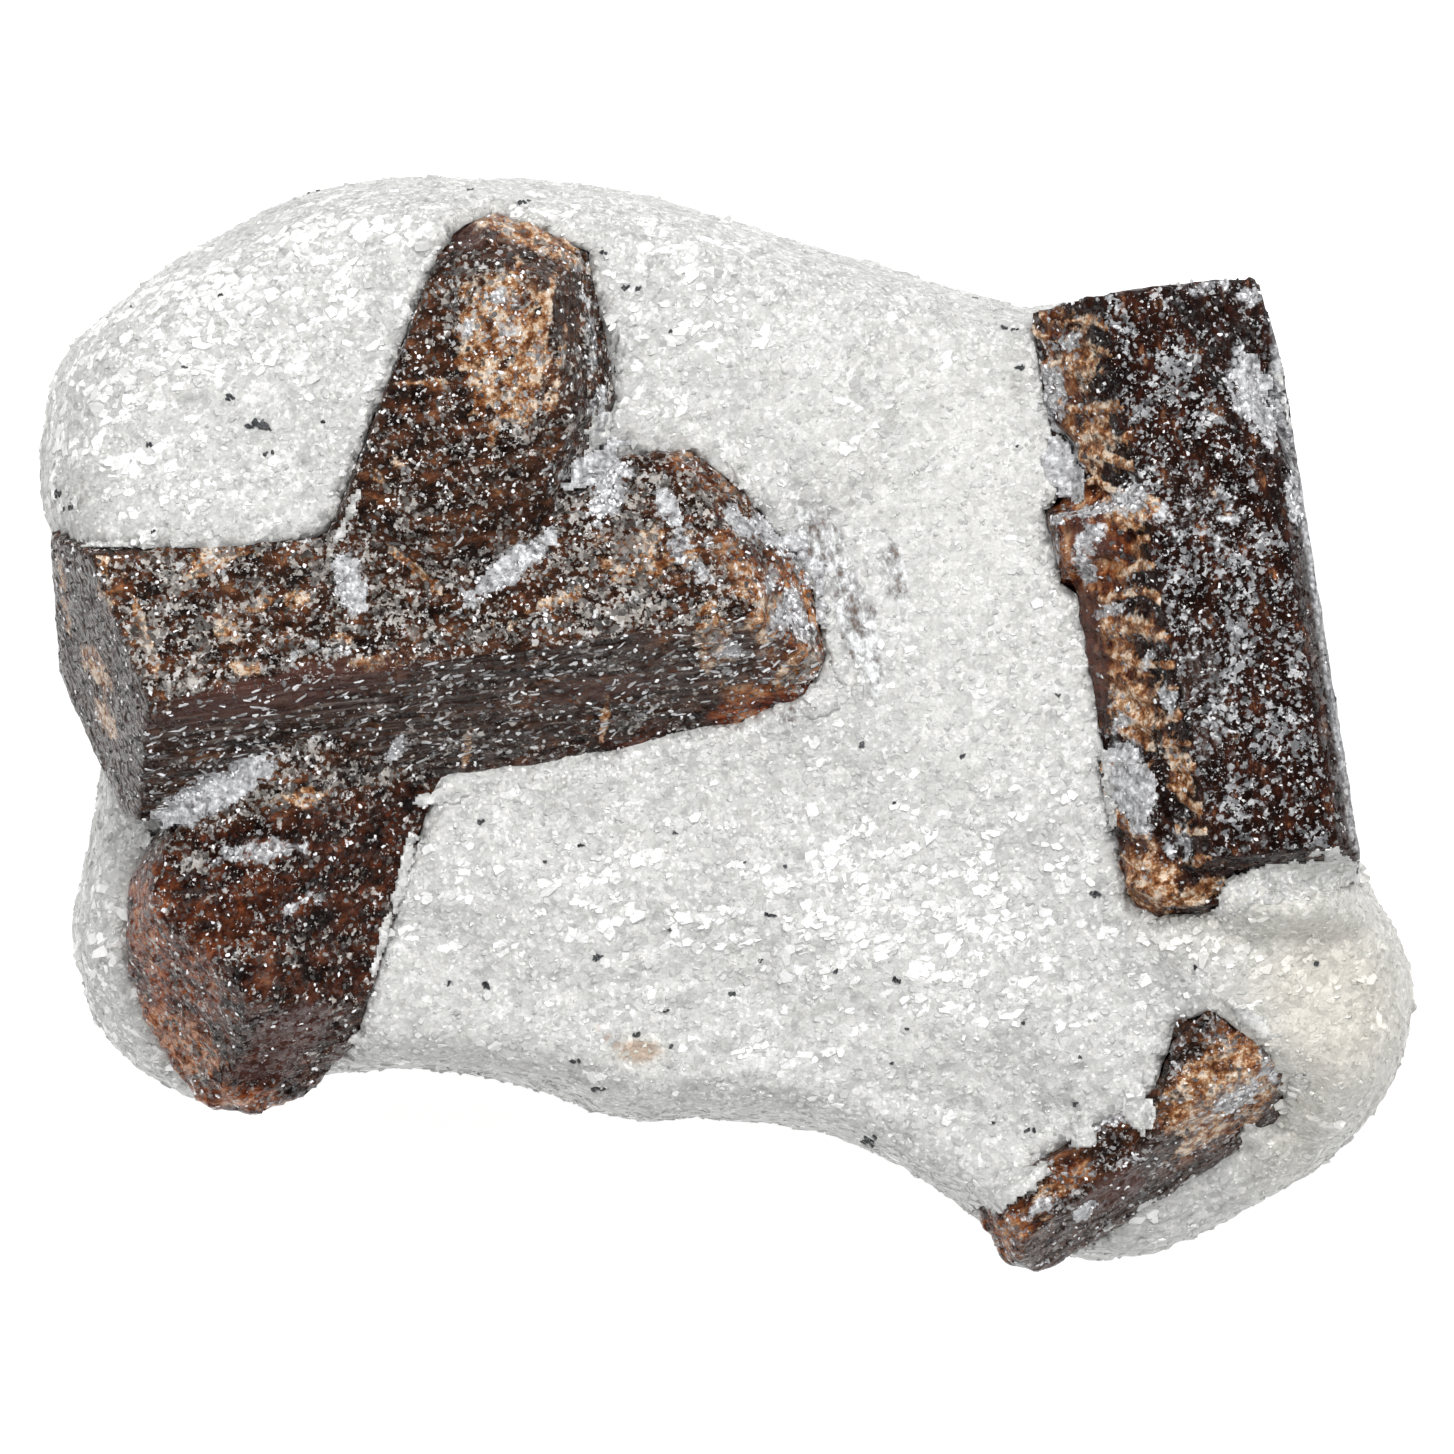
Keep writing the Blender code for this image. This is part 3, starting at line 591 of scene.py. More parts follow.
def speck_masks(tree, position, plum, chip_scale):
    """Ragged spots and angular chips, thicker in some places: mask, noise of the spots, tone of the chips."""
    crowd = times(tree, calc(tree, "SUBTRACT", noise_value(tree, position, 0.6), 0.5), 0.55)
    thick = calc(tree, "MULTIPLY_ADD", attribute(tree, "speckle"), 0.14, crowd)
    thick = calc(tree, "MULTIPLY_ADD", plum, -0.12, thick)
    spots = noise_value(tree, position, 3.9, 3.0, 0.6)
    spot = between(tree, calc(tree, "ADD", spots, thick), 0.67, 0.72)
    wander = add(tree, "TexNoise", {"Vector": position, "Scale": 3.0, "Detail": 2.0}).outputs["Color"]
    bent = vector_calc(tree, "ADD", position, vector_calc(tree, "SCALE", wander, scale=0.5))
    chips = add(tree, "TexVoronoi", {"Vector": bent, "Scale": chip_scale, "Randomness": 1.0})
    chosen = calc(tree, "MULTIPLY_ADD", thick, 1.5, channel(tree, chips.outputs["Color"], "Blue"))
    chip = times(tree, between(tree, chosen, 0.97, 1.05, "LINEAR"),
                 between(tree, chips.outputs["Distance"], 0.48, 0.30))
    return calc(tree, "MAXIMUM", spot, chip), spots, channel(tree, chips.outputs["Color"], "Red")


def staurolite_material(name, dark, middle, axis, speck_tones, gloss, chip_scale):
    """Dark resinous staurolite, whose patches come from the blotch attributes."""
    material, tree = shader_tree(name)
    position = position_mm(tree)
    relief, crumb = facets(tree, position, 3.4, 1.0)
    fine_relief, _ = facets(tree, position, 7.5, 0.55)
    random_tone = channel(tree, crumb, "Red")
    colour, grey, plum = staurolite_colour(tree, position, axis, dark, middle, crumb)

    speck, spots, chip_tone = speck_masks(tree, position, plum, chip_scale)
    dim, pale = speck_tones
    speck_mix = calc(tree, "MULTIPLY_ADD", random_tone, 0.5, times(tree, chip_tone, 0.5))
    speck_tone = ramp(tree, speck_mix, [
        (0.15, tuple(0.3 * v for v in dim)), (0.45, dim), (0.75, pale), (0.95, (0.78, 0.78, 0.79))])
    colour = tint(tree, colour, speck, 0.85, speck_tone)

    mica_mix = calc(tree, "MULTIPLY_ADD", spots, 0.8, times(tree, random_tone, 0.25))
    mica_tone = ramp(tree, mica_mix, [
        (0.36, (0.10, 0.10, 0.105)), (0.46, (0.30, 0.305, 0.315)),
        (0.56, (0.48, 0.485, 0.50)), (0.66, (0.80, 0.81, 0.83))])
    mica = calc(tree, "MAXIMUM", masked(tree, "mica", position, 1.5, 0.55, 0.14, 2.4),
                times(tree, attribute(tree, "coat"), 0.7))
    colour = tint(tree, colour, mica, 0.92, mica_tone)

    roughness = calc(tree, "MULTIPLY_ADD", random_tone, 0.12, gloss)
    roughness = calc(tree, "MULTIPLY_ADD", calc(tree, "MAXIMUM", mica, speck), 0.18, roughness)
    height = times(tree, calc(tree, "ADD", relief, fine_relief), attribute(tree, "sparkle"))
    ribbed = noise_value(tree, stretched(tree, position, axis, 0.35, 3.2), 1.0, 0.0)
    height = calc(tree, "ADD", height, times(tree, times(tree, ribbed, 0.16), grey))
    finish_shader(tree, colour, roughness, height, 0.24)
    return material


def dark_grain_material():
    material, tree = shader_tree("dark_mineral")
    position = position_mm(tree)
    colour = ramp(tree, noise_value(tree, position, 3.0), [
        (0.35, (0.006, 0.007, 0.009)), (0.7, (0.05, 0.055, 0.06))])
    finish_shader(tree, colour, 0.35, times(tree, noise_value(tree, position, 6.0), 0.08))
    return material


def crust_material():
    material, tree = shader_tree("mica_crust")
    position = position_mm(tree)
    relief, grains = facets(tree, position, 3.2, 0.7)
    colour = ramp(tree, noise_value(tree, position, 3.0, 4.0, 0.7), [
        (0.36, (0.14, 0.13, 0.13)), (0.44, (0.36, 0.36, 0.37)),
        (0.54, (0.49, 0.495, 0.51)), (0.64, (0.85, 0.85, 0.86))])
    grain = ramp(tree, channel(tree, grains, "Green"), [
        (0.0, (0.72,) * 3), (0.6, (1.0,) * 3), (1.0, (1.25,) * 3)])
    colour = blend_colour(tree, 0.8, colour, grain, "MULTIPLY")
    finish_shader(tree, colour, 0.28, relief)
    return material


def floor_material():
    material, tree = shader_tree("pale_paper")
    shader = add(tree, "BsdfPrincipled", {"Base Color": (0.45, 0.45, 0.45, 1.0), "Roughness": 0.9})
    shader.inputs["Specular IOR Level"].default_value = 0.0
    shader.inputs["Emission Color"].default_value = (1.0, 1.0, 1.0, 1.0)
    shader.inputs["Emission Strength"].default_value = 0.76
    add(tree, "OutputMaterial", {"Surface": shader.outputs["BSDF"]})
    return material


# Rock
def dress_rock(crystal_trees):
    """The schist, with a lumpy grainy skin drawn up close against the crystals."""
    obj = fine_copy("schist_matrix", "schist", ROCK_VOXEL)
    mesh = obj.data
    points = get_points(mesh)
    normals = get_normals(mesh)
    skin = smoothstep(0.02, 0.6, points[:, 2])
    slant = turned(points, 100.0) * np.array((1.0, 0.35, 1.0))
    push = 0.16 * lumps(points, 2.6, 3.1) + 0.12 * lumps(points, 1.1, 7.7) + 0.10 * lumps(points, 0.55, 1.3)
    push += (0.22 * lumps(slant, 0.9, 5.2) - 0.10) * blotches(points, RIDGED_PATCHES)
    points[:, 2] -= blotches(points, DIPS) * smoothstep(2.0, 5.0, points[:, 2])
    push = np.clip(push, -0.5, 0.3) + blotches(points, SWELLS) * smoothstep(0.7, 0.3, normals[:, 2])
    points += normals * (push * skin)[:, None]
    for tree in crystal_trees:
        places, outward, distances = nearest(tree, points)
        points[:, 2] += 0.30 * smoothstep(1.1, 0.35, distances) * smoothstep(0.0, 0.5, normals[:, 2])
        hold = smoothstep(0.8, 0.45, distances)[:, None]
        points = points * (1.0 - hold) + (places - outward * 0.05) * hold
    base = smoothstep(-0.6, -0.9, normals[:, 2]) * (points[:, 2] < 0.3)
    points[:, 2] += base * (0.10 + 0.09 * lumps(points, 0.9, 2.9))
    points[:, 2] = np.maximum(points[:, 2], 0.0)
    set_points(mesh, points)
    layers = lumps(points * np.array((0.14, 0.14, 1.0)), 1.3, 4.9)
    folded = smoothstep(-0.1, 0.5, layers) * smoothstep(0.5, 0.1, normals[:, 2])
    upper = smoothstep(-0.3, 0.1, normals[:, 2])
    set_values(mesh, {
        "dull": np.maximum(blotches(points, DULL_PATCHES) * upper, 0.6 * folded),
        "pale": blotches(points, PALE_AND_LIT_PATCHES) * upper,
        "cream": blotches(points, CREAM_PATCHES),
        "ridged": blotches(points, RIDGED_PATCHES) * upper,
        "stain": blotches(points, STAIN_PATCHES) * upper,
    })
    mesh.materials.append(schist_material())
    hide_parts("schist_matrix")
    return obj


# Crystals
def dress_crystal(node, name, voxel, relief, material):
    obj = fine_copy(node, name, voxel)
    mesh = obj.data
    points = get_points(mesh)
    normals = get_normals(mesh)
    _, face_normals, _ = nearest(tree_of(node), points)
    push, values = relief(points, face_normals)
    crumble = 0.30 * lumps(points, 1.2, 6.6) + 0.20 * lumps(points, 0.55, 4.1) - 0.05
    push += blotches(points, ROUGH_PATCHES) * crumble
    push -= blotches(points, DENTS) * smoothstep(0.4, 0.7, face_normals[:, 2])
    push += blotches(points, SWELLS) * smoothstep(0.7, 0.3, face_normals[:, 2])
    mica = blotches(points, MICA_PATCHES) * smoothstep(-0.1, 0.2, face_normals[:, 2])
    points += normals * push[:, None]
    points[:, 2] = np.maximum(points[:, 2], 0.0)
    set_points(mesh, points)
    set_values(mesh, {
        "mica": mica,
        "tan": blotches(points, TAN_PATCHES),
        "red": blotches(points, RED_PATCHES),
        "plum": blotches(points, PLUM_PATCHES),
        **values,
    })
    mesh.materials.append(material)
    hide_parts(node)
    return obj


def below_bar(points):
    """1 on the lower arm of the cross, 0 on its bar."""
    x, y = from_photo(*BAR_FOOT)
    turn = math.radians(BAR_FOOT_SLOPE)
    depth = (points[:, 0] - x) * math.sin(turn) - (points[:, 1] - y) * math.cos(turn)
    return smoothstep(-0.2, 0.5, depth)


def cross_relief(points, face_normals):
    """Height of the cross's skin in mm: striped lower face, ribbed end, uneven elsewhere."""
    low_arm = below_bar(points)
    high_arm = blotches(points, HIGH_ARM)
    lower = facing(face_normals, *BAR_LOWER_FACE) * (1.0 - low_arm)
    end = facing(face_normals, *BAR_END_FACE) * (1.0 - low_arm)
    calm = np.maximum(lower, end)
    push = 0.07 * lumps(points, 1.6, 4.4) + 0.06 * lumps(points, 0.5, 8.1) * (1.0 - 0.6 * calm)
    push += -0.16 * pits(points, 0.7, 9.5, 0.25) * (1.0 - calm)
    bar_streaks = turned(points, BAR_AXIS) * np.array((0.18, 1.0, 1.0))
    push += 0.10 * lumps(bar_streaks, 0.45, 2.0) * lower
    end_streaks = turned(points * np.array((1.0, 1.0, 0.12)), 108.0) * np.array((1.0, 0.2, 1.0))
    push += 0.08 * lumps(end_streaks, 0.4, 6.0) * end
    arm_streaks = turned(points, 100.0) * np.array((0.2, 1.0, 1.0))
    push += 0.14 * lumps(arm_streaks, 0.5, 3.0) * facing(face_normals, *ARM_RIGHT_FACE, 0.95)
    uneven = 0.6 + 0.5 * lumps(points, 3.0, 2.2)
    return push, {
        "warm": low_arm,
        "grey": np.maximum(blotches(points, GREY_AND_SHEEN_PATCHES), np.maximum(0.95 * lower * uneven, 1.0 * end)),
        "sparkle": 1.0 - 0.4 * calm,
        "speckle": np.clip(1.2 - 0.6 * lower - 1.1 * end - 0.5 * low_arm - 0.4 * high_arm, 0.0, 1.2),
    }


def long_relief(points, face_normals):
    """Height of the long crystal's skin in mm: a flat top, and growth steps with tan bands on the left."""
    top = facing(face_normals, *LONG_TOP_FACE, 0.985)
    strip = facing(face_normals, *LONG_LEFT_FACE, 0.93)
    right = facing(face_normals, *LONG_RIGHT_FACE, 0.9)
    local = turned(points, LONG_AXIS)
    rim = np.quantile(local[:, 1], 0.002)
    push = 0.05 * lumps(points, 1.5, 1.4) * (1.0 - 0.6 * top) + 0.04 * lumps(points, 0.5, 5.1)
    push += -0.12 * pits(points, 0.75, 6.5, 0.2) * (0.4 + 0.6 * (1.0 - top))
    wander = 0.65 * lumps(points, 2.2, 3.3) + 0.25 * (points[:, 2] - 19.0)
    step = np.sin(2.0 * math.pi * (local[:, 0] / 1.25 + wander))
    push += strip * (0.13 * np.maximum(step, -0.4) + 0.08 * lumps(points, 0.8, 8.8))
    uneven = 0.9 + 0.4 * lumps(points, 2.0, 5.7)
    bare = 1.0 - 0.85 * np.clip(blotches(points, PLUM_PATCHES), 0.0, 1.0)
    return push, {
        "grey": blotches(points, GREY_AND_SHEEN_PATCHES) * (1.0 - strip),
        "sparkle": 0.55 + 0.45 * (1.0 - top),
        "speckle": 0.2 + 0.8 * top,
        "band": strip * (0.55 + 0.5 * step) * uneven * bare,
        "coat": right * smoothstep(0.44, 0.2, local[:, 1] - rim),
    }


def corner_relief(points, face_normals):
    """Height of the corner crystal's skin in mm: pitted, except on its lower face."""
    lower = facing(face_normals, *CORNER_LOWER_FACE, 0.95)
    push = 0.12 * lumps(points, 1.3, 2.4) + 0.09 * lumps(points, 0.5, 7.1)
    push += -0.30 * pits(points, 0.9, 3.5, 0.15) * (1.0 - lower)
    return push, {
        "grey": np.maximum(blotches(points, GREY_AND_SHEEN_PATCHES), 0.5 * lower),
        "sparkle": 1.0 - 0.5 * lower,
        "speckle": np.full(len(points), 0.8),
    }


# Flakes
def surface_samples(mesh, count, weight):
    """Random places on a mesh, thinned by a weight for each face: place, normal."""
    mesh.calc_loop_triangles()
    triangles = np.empty(len(mesh.loop_triangles) * 3, dtype=np.int64)
    mesh.loop_triangles.foreach_get("vertices", triangles)
    triangles = triangles.reshape(-1, 3)
    points = get_points(mesh)
    normals = get_normals(mesh)
    a, b, c = (points[triangles[:, k]] for k in range(3))
    area = 0.5 * np.linalg.norm(np.cross(b - a, c - a), axis=1)
    chance = area * weight((a + b + c) / 3.0, normals[triangles].mean(axis=1))
    chance /= chance.sum()
    chosen = generator.choice(len(triangles), size=count, p=chance)
    u, v = generator.random((2, count))
    over = u + v > 1.0
    u[over], v[over] = 1.0 - u[over], 1.0 - v[over]
    place = a[chosen] + (b - a)[chosen] * u[:, None] + (c - a)[chosen] * v[:, None]
    normal = normals[triangles[chosen]].mean(axis=1)
    normal /= np.linalg.norm(normal, axis=1)[:, None]
    return place, normal


def without_lift(slip, normal):
    """Slips with their part along the normals taken out."""
    return slip - normal * (slip * normal).sum(axis=1)[:, None]


def along_photo(degrees):
    turn = math.radians(degrees)
    return math.cos(turn), math.sin(turn), 0.0


def flakes(name, place, normal, size, tilt, thickness, rise, corners=5, stretch=1.5, grain=None):
    """Small closed plates sunk into a surface, all in one mesh, long along the grain if it is given."""
    count = len(place)
    axis = normal + generator.normal(0.0, 1.0, (count, 3)) * np.tan(np.radians(tilt))
    axis /= np.linalg.norm(axis, axis=1)[:, None]
    if grain is None:
        side = np.cross(axis, generator.normal(0.0, 1.0, (count, 3)))
    else:
        wanted = np.array(along_photo(grain)) + generator.normal(0.0, 0.35, (count, 3))
        side = without_lift(wanted, axis)
    side /= np.linalg.norm(side, axis=1)[:, None]
    other = np.cross(axis, side)
    angle = np.arange(corners) / corners * 2.0 * math.pi
    angle = angle[None, :] + generator.uniform(-0.35, 0.35, (count, corners))
    radius = 0.5 * size[:, None] * generator.uniform(0.72, 1.12, (count, corners))
    squeeze = generator.uniform(1.0, stretch, count)[:, None]
    x = np.cos(angle) * radius * np.sqrt(squeeze)
    y = np.sin(angle) * radius / np.sqrt(squeeze)
    middle = (place + normal * rise[:, None])[:, None, :]
    outline = x[:, :, None] * side[:, None, :] + y[:, :, None] * other[:, None, :]
    top = middle + outline * 0.86
    bottom = middle + outline - axis[:, None, :] * thickness[:, None, None]
    points = np.concatenate((top, bottom), axis=1).reshape(-1, 3)
    points[:, 2] = np.maximum(points[:, 2], 0.0)
    first = np.arange(count) * corners * 2
    ring = np.arange(corners)
    faces = (first[:, None] + ring[None, :]).tolist()
    faces += (first[:, None] + corners + ring[None, ::-1]).tolist()
    for k in range(corners):
        n = (k + 1) % corners
        faces += np.stack((first + k, first + corners + k, first + corners + n, first + n), axis=1).tolist()
    mesh = bpy.data.meshes.new(name)
    mesh.from_pydata((points * MM).tolist(), [], faces)
    mesh.update()
    return new_object(name, mesh)


def finish_flakes(obj, tone, cream, material, corners=5):
    """Gives every flake its own tone and creaminess, and all of them a material."""
    set_values(obj.data, {"tone": np.repeat(tone, corners * 2), "cream": np.repeat(cream, corners * 2)})
    obj.data.materials.append(material)
    return obj


def buried(place, depth):
    """True for places on the rock that a crystal covers."""
    hidden = np.zeros(len(place), dtype=bool)
    for tree in crystal_trees:
        _, _, distances = nearest(tree, place)
        hidden |= distances < depth
    return hidden


def rock_flakes(name, count, weight, low, high, tilt, tones, roughness, keep_clear, clump=1):
    """Plates of mica on the rock, in clumps of about the given number."""
    place, normal = surface_samples(rock.data, count // clump, weight)
    free = ~buried(place, keep_clear)
    place, normal = np.repeat(place[free], clump, axis=0), np.repeat(normal[free], clump, axis=0)
    count = len(place)
    size = generator.uniform(low, high, count) * generator.uniform(0.75, 1.25, count)
    if clump > 1:
        slip = generator.normal(0.0, 0.45, (count, 3)) * size[:, None] * (1.3, 0.7, 0.7)
        place = place + without_lift(slip, normal)
    obj = flakes(name, place, normal, size, tilt, 0.5 * size, generator.uniform(0.0, 0.05, count),
                 stretch=2.2, grain=ROCK_GRAIN)
    low_light = np.maximum(0.6 * blotches(place, DULL_PATCHES), 0.5 * blotches(place, RIDGED_PATCHES))
    tone = np.clip(generator.beta(1.6, 1.6, count) - low_light, 0.0, 1.0)
    material = flake_material(f"{name}_pearl", *tones, roughness)
    return finish_flakes(obj, tone, blotches(place, CREAM_PATCHES), material)


def front(centre, normal):
    calm = 1.0 - 0.8 * np.minimum(blotches(centre, RIDGED_PATCHES), 1.0)
    even = 0.75 + 0.25 * lumps(centre, 3.0, 4.0)
    return smoothstep(0.1, 0.5, normal[:, 2]) * (centre[:, 2] > 3.0) * even * calm


def bright_front(centre, normal):
    left_rim = smoothstep(-0.2, 0.2, normal[:, 2]) * (centre[:, 2] > 2.0) * (centre[:, 0] < LEFT_RIM)
    clusters = 0.4 + 0.6 * lumps(centre, 1.2, 9.0) ** 2
    return np.maximum(front(centre, normal), left_rim) * (0.08 + blotches(centre, BRIGHT_PATCHES)) * clusters


def flanks(centre, normal):
    return smoothstep(0.4, 0.1, normal[:, 2]) * (centre[:, 2] > 0.35)


def underside(centre, normal):
    return smoothstep(-0.6, -0.9, normal[:, 2]) * (centre[:, 2] < 0.3)


def crystal_specks():
    """Mica specks stuck on the crystals, thick in the mica patches; a share of them are white dots that are
    painted glints.
    """
    # Crystal, number of specks, their size, and the share of them that are white painted glints
    kinds = ((cross, 4200, 1.05, 0.36), (blade, 1500, 1.05, 0.16), (corner, 600, 1.0, 0.3))

    def weight(centre, normal):
        patch = blotches(centre, MICA_PATCHES)
        up = smoothstep(-0.1, 0.35, normal[:, 2]) * (centre[:, 2] > 6.0)
        calm = np.maximum(0.5 * below_bar(centre), 0.85 * np.clip(blotches(centre, PLUM_PATCHES), 0.0, 1.0))
        return up * (0.12 + 1.9 * smoothstep(0.4, 0.8, patch)) * (1.0 - calm)

    parts = [surface_samples(obj.data, count, weight) for obj, count, _, _ in kinds]
    place = np.concatenate([part[0] for part in parts])
    normal = np.concatenate([part[1] for part in parts])
    count = len(place)
    # White specks that stand for glints on the crystals: painted glints
    painted_glint = generator.random(count) < np.concatenate([np.full(kind[1], kind[3]) for kind in kinds])
    size = np.where(painted_glint, generator.uniform(0.10, 0.27, count), generator.uniform(0.12, 0.34, count))
    size = size * np.concatenate([np.full(kind[1], kind[2]) for kind in kinds])
    obj = flakes("mica_and_glint_specks", place, normal, size, 20.0, 0.35 * size,
                 generator.uniform(0.0, 0.03, count), stretch=2.0)
    tone = generator.beta(0.8, 4.5, count) + 0.4 * blotches(place, MICA_PATCHES) + 0.85 * painted_glint
    material = flake_material("mica_and_glint_speck", (0.04, 0.035, 0.035), (0.93, 0.93, 0.95), 0.2)
    return finish_flakes(obj, np.clip(tone, 0.0, 1.0), np.zeros(count), material)


def bar_glint_streaks(count=420):
    """Pale slivers lying along the lower face of the bar: painted glint streaks."""
    def weight(centre, normal):
        return facing(normal, *BAR_LOWER_FACE, 0.9) * (centre[:, 2] > 10.0) * (1.0 - below_bar(centre))

    place, normal = surface_samples(cross.data, count, weight)
    size = generator.uniform(0.18, 0.42, count)
    # Painted glint streaks: pale flakes drawn out along the bar
    obj = flakes("painted_glint_streaks", place, normal, size, 12.0, 0.3 * size,
                 generator.uniform(0.0, 0.03, count), stretch=6.0, grain=SLIVER_GRAIN)
    return finish_flakes(obj, generator.beta(1.2, 1.5, count), np.zeros(count), specks.data.materials[0])


def dark_grains():
    """Clusters of small dark plates, where the photograph has them and in places on the flanks."""
    rock_tree = surface_tree(rock)
    place, normal, size = [], [], []
    for px, py, length in DARK_GRAINS:
        pieces, share = (7, 0.36) if length > 10 else (3, 0.55)
        for _ in range(pieces):
            slip = generator.normal(0.0, 0.22 * length, 2) * (1.0, 0.45)
            hit, upward = drop(rock_tree, *from_photo(px + slip[0], py + slip[1]))
            if hit is not None:
                place.append(tuple(hit / MM))
                normal.append(tuple(upward))
                size.append(length * PIXEL * share)
    side_place, side_normal = surface_samples(rock.data, 60, flanks)
    side_place, side_normal = np.repeat(side_place, 3, axis=0), np.repeat(side_normal, 3, axis=0)
    slip = generator.normal(0.0, 0.12, side_place.shape)
    side_place = side_place + without_lift(slip, side_normal) - side_normal * 0.04
    place, normal = np.concatenate((place, side_place)), np.concatenate((normal, side_normal))
    size = np.concatenate((size, generator.uniform(0.15, 0.32, len(side_place))))
    obj = flakes("dark_grains", place, normal, size, 12.0, 0.4 * size, np.full(len(place), 0.07),
                 corners=6, stretch=2.6)
    obj.data.materials.append(dark_grain_material())
    return obj


# Crusts
def spread(values, reach, pick):
    """Largest or smallest value within a few steps on a grid."""
    for axis in (0, 1):
        values = pick.reduce([np.roll(values, step, axis) for step in range(-reach, reach + 1)])
    return values


def ragged_sheet(ground, patch, thickness, slope, step):
    """Upper and lower points of a sheet over one patch, on a grid in mm, and which of them it keeps."""
    x, y = from_photo(patch[0], patch[1])
    reach = 1.6 * max(patch[2], patch[3]) * PIXEL
    ticks = np.arange(-reach, reach + step, step)
    shape = (len(ticks),) * 2
    grid = np.stack(np.meshgrid(x + ticks, y + ticks, indexing="ij") + [np.zeros(shape)], axis=-1)
    flat = grid.reshape(-1, 3)
    level = blotches(flat, [patch]) + 0.5 * lumps(flat, 0.9, 3.7) + 0.45 * lumps(flat, 0.33, 8.4)
    inside = blotches(flat, [patch]) > 0.02
    height = np.full(len(flat), 8.0)
    for index in np.nonzero(inside)[0]:
        tops = [drop(tree, flat[index, 0], flat[index, 1])[0] for tree in ground]
        height[index] = max((top.z / MM for top in tops if top is not None), default=-1.0)
    height, level = height.reshape(shape), level.reshape(shape)
    bridged = spread(spread(height, 4, np.maximum), 4, np.minimum)
    for _ in range(slope):
        around = sum(np.roll(bridged, shift, axis) for axis in (0, 1) for shift in (-1, 1)) / 4.0
        bridged = np.maximum(bridged, 0.5 * (bridged + around))
    keep = (level > 0.45) & (height > 3.0) & inside.reshape(shape)
    top = bridged + thickness * smoothstep(0.4, 1.0, level) - 0.03
    bottom = np.minimum(height, top) - 0.35
    upper, lower = (np.dstack((grid[:, :, 0], grid[:, :, 1], z)).reshape(-1, 3) for z in (top, bottom))
    return upper, lower, keep


def sheet_faces(keep, first):
    """Faces that close a sheet between its upper points, numbered from first, and its lower points."""
    number = np.arange(keep.size).reshape(keep.shape) + first
    under = number + keep.size
    cell = keep[:-1, :-1] & keep[1:, :-1] & keep[1:, 1:] & keep[:-1, 1:]
    framed = np.pad(cell, 1)
    faces = []
    for i, j in zip(*np.nonzero(cell)):
        ring = ((i, j), (i + 1, j), (i + 1, j + 1), (i, j + 1))
        faces.append([number[k] for k in ring])
        faces.append([under[k] for k in reversed(ring)])
        beside = (framed[i + 1, j], framed[i + 2, j + 1], framed[i + 1, j + 2], framed[i, j + 1])
        for k, closed in enumerate(beside):
            if not closed:
                a, b = ring[k], ring[(k + 1) % 4]
                faces.append([number[b], number[a], under[a], under[b]])
    return faces


def crust(name, patches, thickness, material, slope=0, step=0.11):
    """Ragged sheets lying over whatever is below, in one closed mesh."""
    ground = [surface_tree(obj) for obj in (rock, cross, blade, corner)]
    points, faces = [], []
    for patch in patches:
        upper, lower, keep = ragged_sheet(ground, patch, thickness, slope, step)
        faces += sheet_faces(keep, sum(len(part) for part in points))
        points += [upper, lower]
    points = np.concatenate(points)
    used = np.unique(np.array([index for face in faces for index in face]))
    renumber = np.zeros(len(points), dtype=np.int64)
    renumber[used] = np.arange(len(used))
    mesh = bpy.data.meshes.new(name)
    faces = [[int(renumber[index]) for index in face] for face in faces]
    mesh.from_pydata((points[used] * MM).tolist(), [], faces)
    mesh.update()
    mesh.materials.append(material)
    return new_object(name, mesh)


# The four stones
crystal_trees = [tree_of(node) for node in ("cross_twin", "long_crystal", "corner_crystal")]
rock = dress_rock(crystal_trees)
cross = dress_crystal("cross_twin", "cross", CROSS_VOXEL, cross_relief, staurolite_material(
    "staurolite_cross", dark=(0.006, 0.0025, 0.0016), middle=(0.036, 0.014, 0.007), axis=BAR_AXIS,
    speck_tones=((0.16, 0.15, 0.14), (0.52, 0.48, 0.44)), gloss=0.05, chip_scale=3.0))
blade = dress_crystal("long_crystal", "long_blade", LONG_VOXEL, long_relief, staurolite_material(
    "staurolite_long", dark=(0.005, 0.0015, 0.001), middle=(0.015, 0.005, 0.003), axis=LONG_AXIS,
    speck_tones=((0.20, 0.204, 0.212), (0.44, 0.445, 0.455)), gloss=0.05, chip_scale=2.4))
corner = dress_crystal("corner_crystal", "corner_block", CORNER_VOXEL, corner_relief, staurolite_material(
    "staurolite_corner", dark=(0.006, 0.003, 0.002), middle=(0.036, 0.014, 0.007), axis=CORNER_AXIS,
    speck_tones=((0.14, 0.13, 0.13), (0.40, 0.38, 0.37)), gloss=0.06, chip_scale=3.0))

edging = crust("schist_edging", EDGINGS, 0.2, rock.data.materials[0], slope=16)
edging.data.shade_smooth()
both = [rock, edging]
with bpy.context.temp_override(
        active_object=rock, object=rock, selected_objects=both, selected_editable_objects=both):
    bpy.ops.object.join()

# Mica flakes on the rock: number, where, least and greatest size, tilt, tones, roughness, clearance, clump
GREYS = ((0.48, 0.485, 0.475), (0.70, 0.70, 0.685))
WHITES = ((0.68, 0.68, 0.67), (0.99, 0.99, 0.99))
coarse = rock_flakes("mica_coarse", 3200, front, 0.25, 0.5, 14.0, GREYS, 0.3, 0.12)
fine = rock_flakes("mica_fine", 10000, front, 0.14, 0.32, 24.0, GREYS, 0.2, 0.05)
white = rock_flakes("mica_white", 2700, bright_front, 0.25, 0.75, 9.0, WHITES, 0.3, 0.15, 3)
sides = rock_flakes("mica_sides", 9000, flanks, 0.25, 0.6, 12.0, GREYS, 0.3, 0.15)
below = rock_flakes("mica_below", 4500, underside, 0.3, 0.7, 3.0, GREYS, 0.3, 0.15)
crusts = crust("mica_crusts", CRUSTS, 0.14, crust_material())
specks = crystal_specks()
slivers = bar_glint_streaks()
grains = dark_grains()

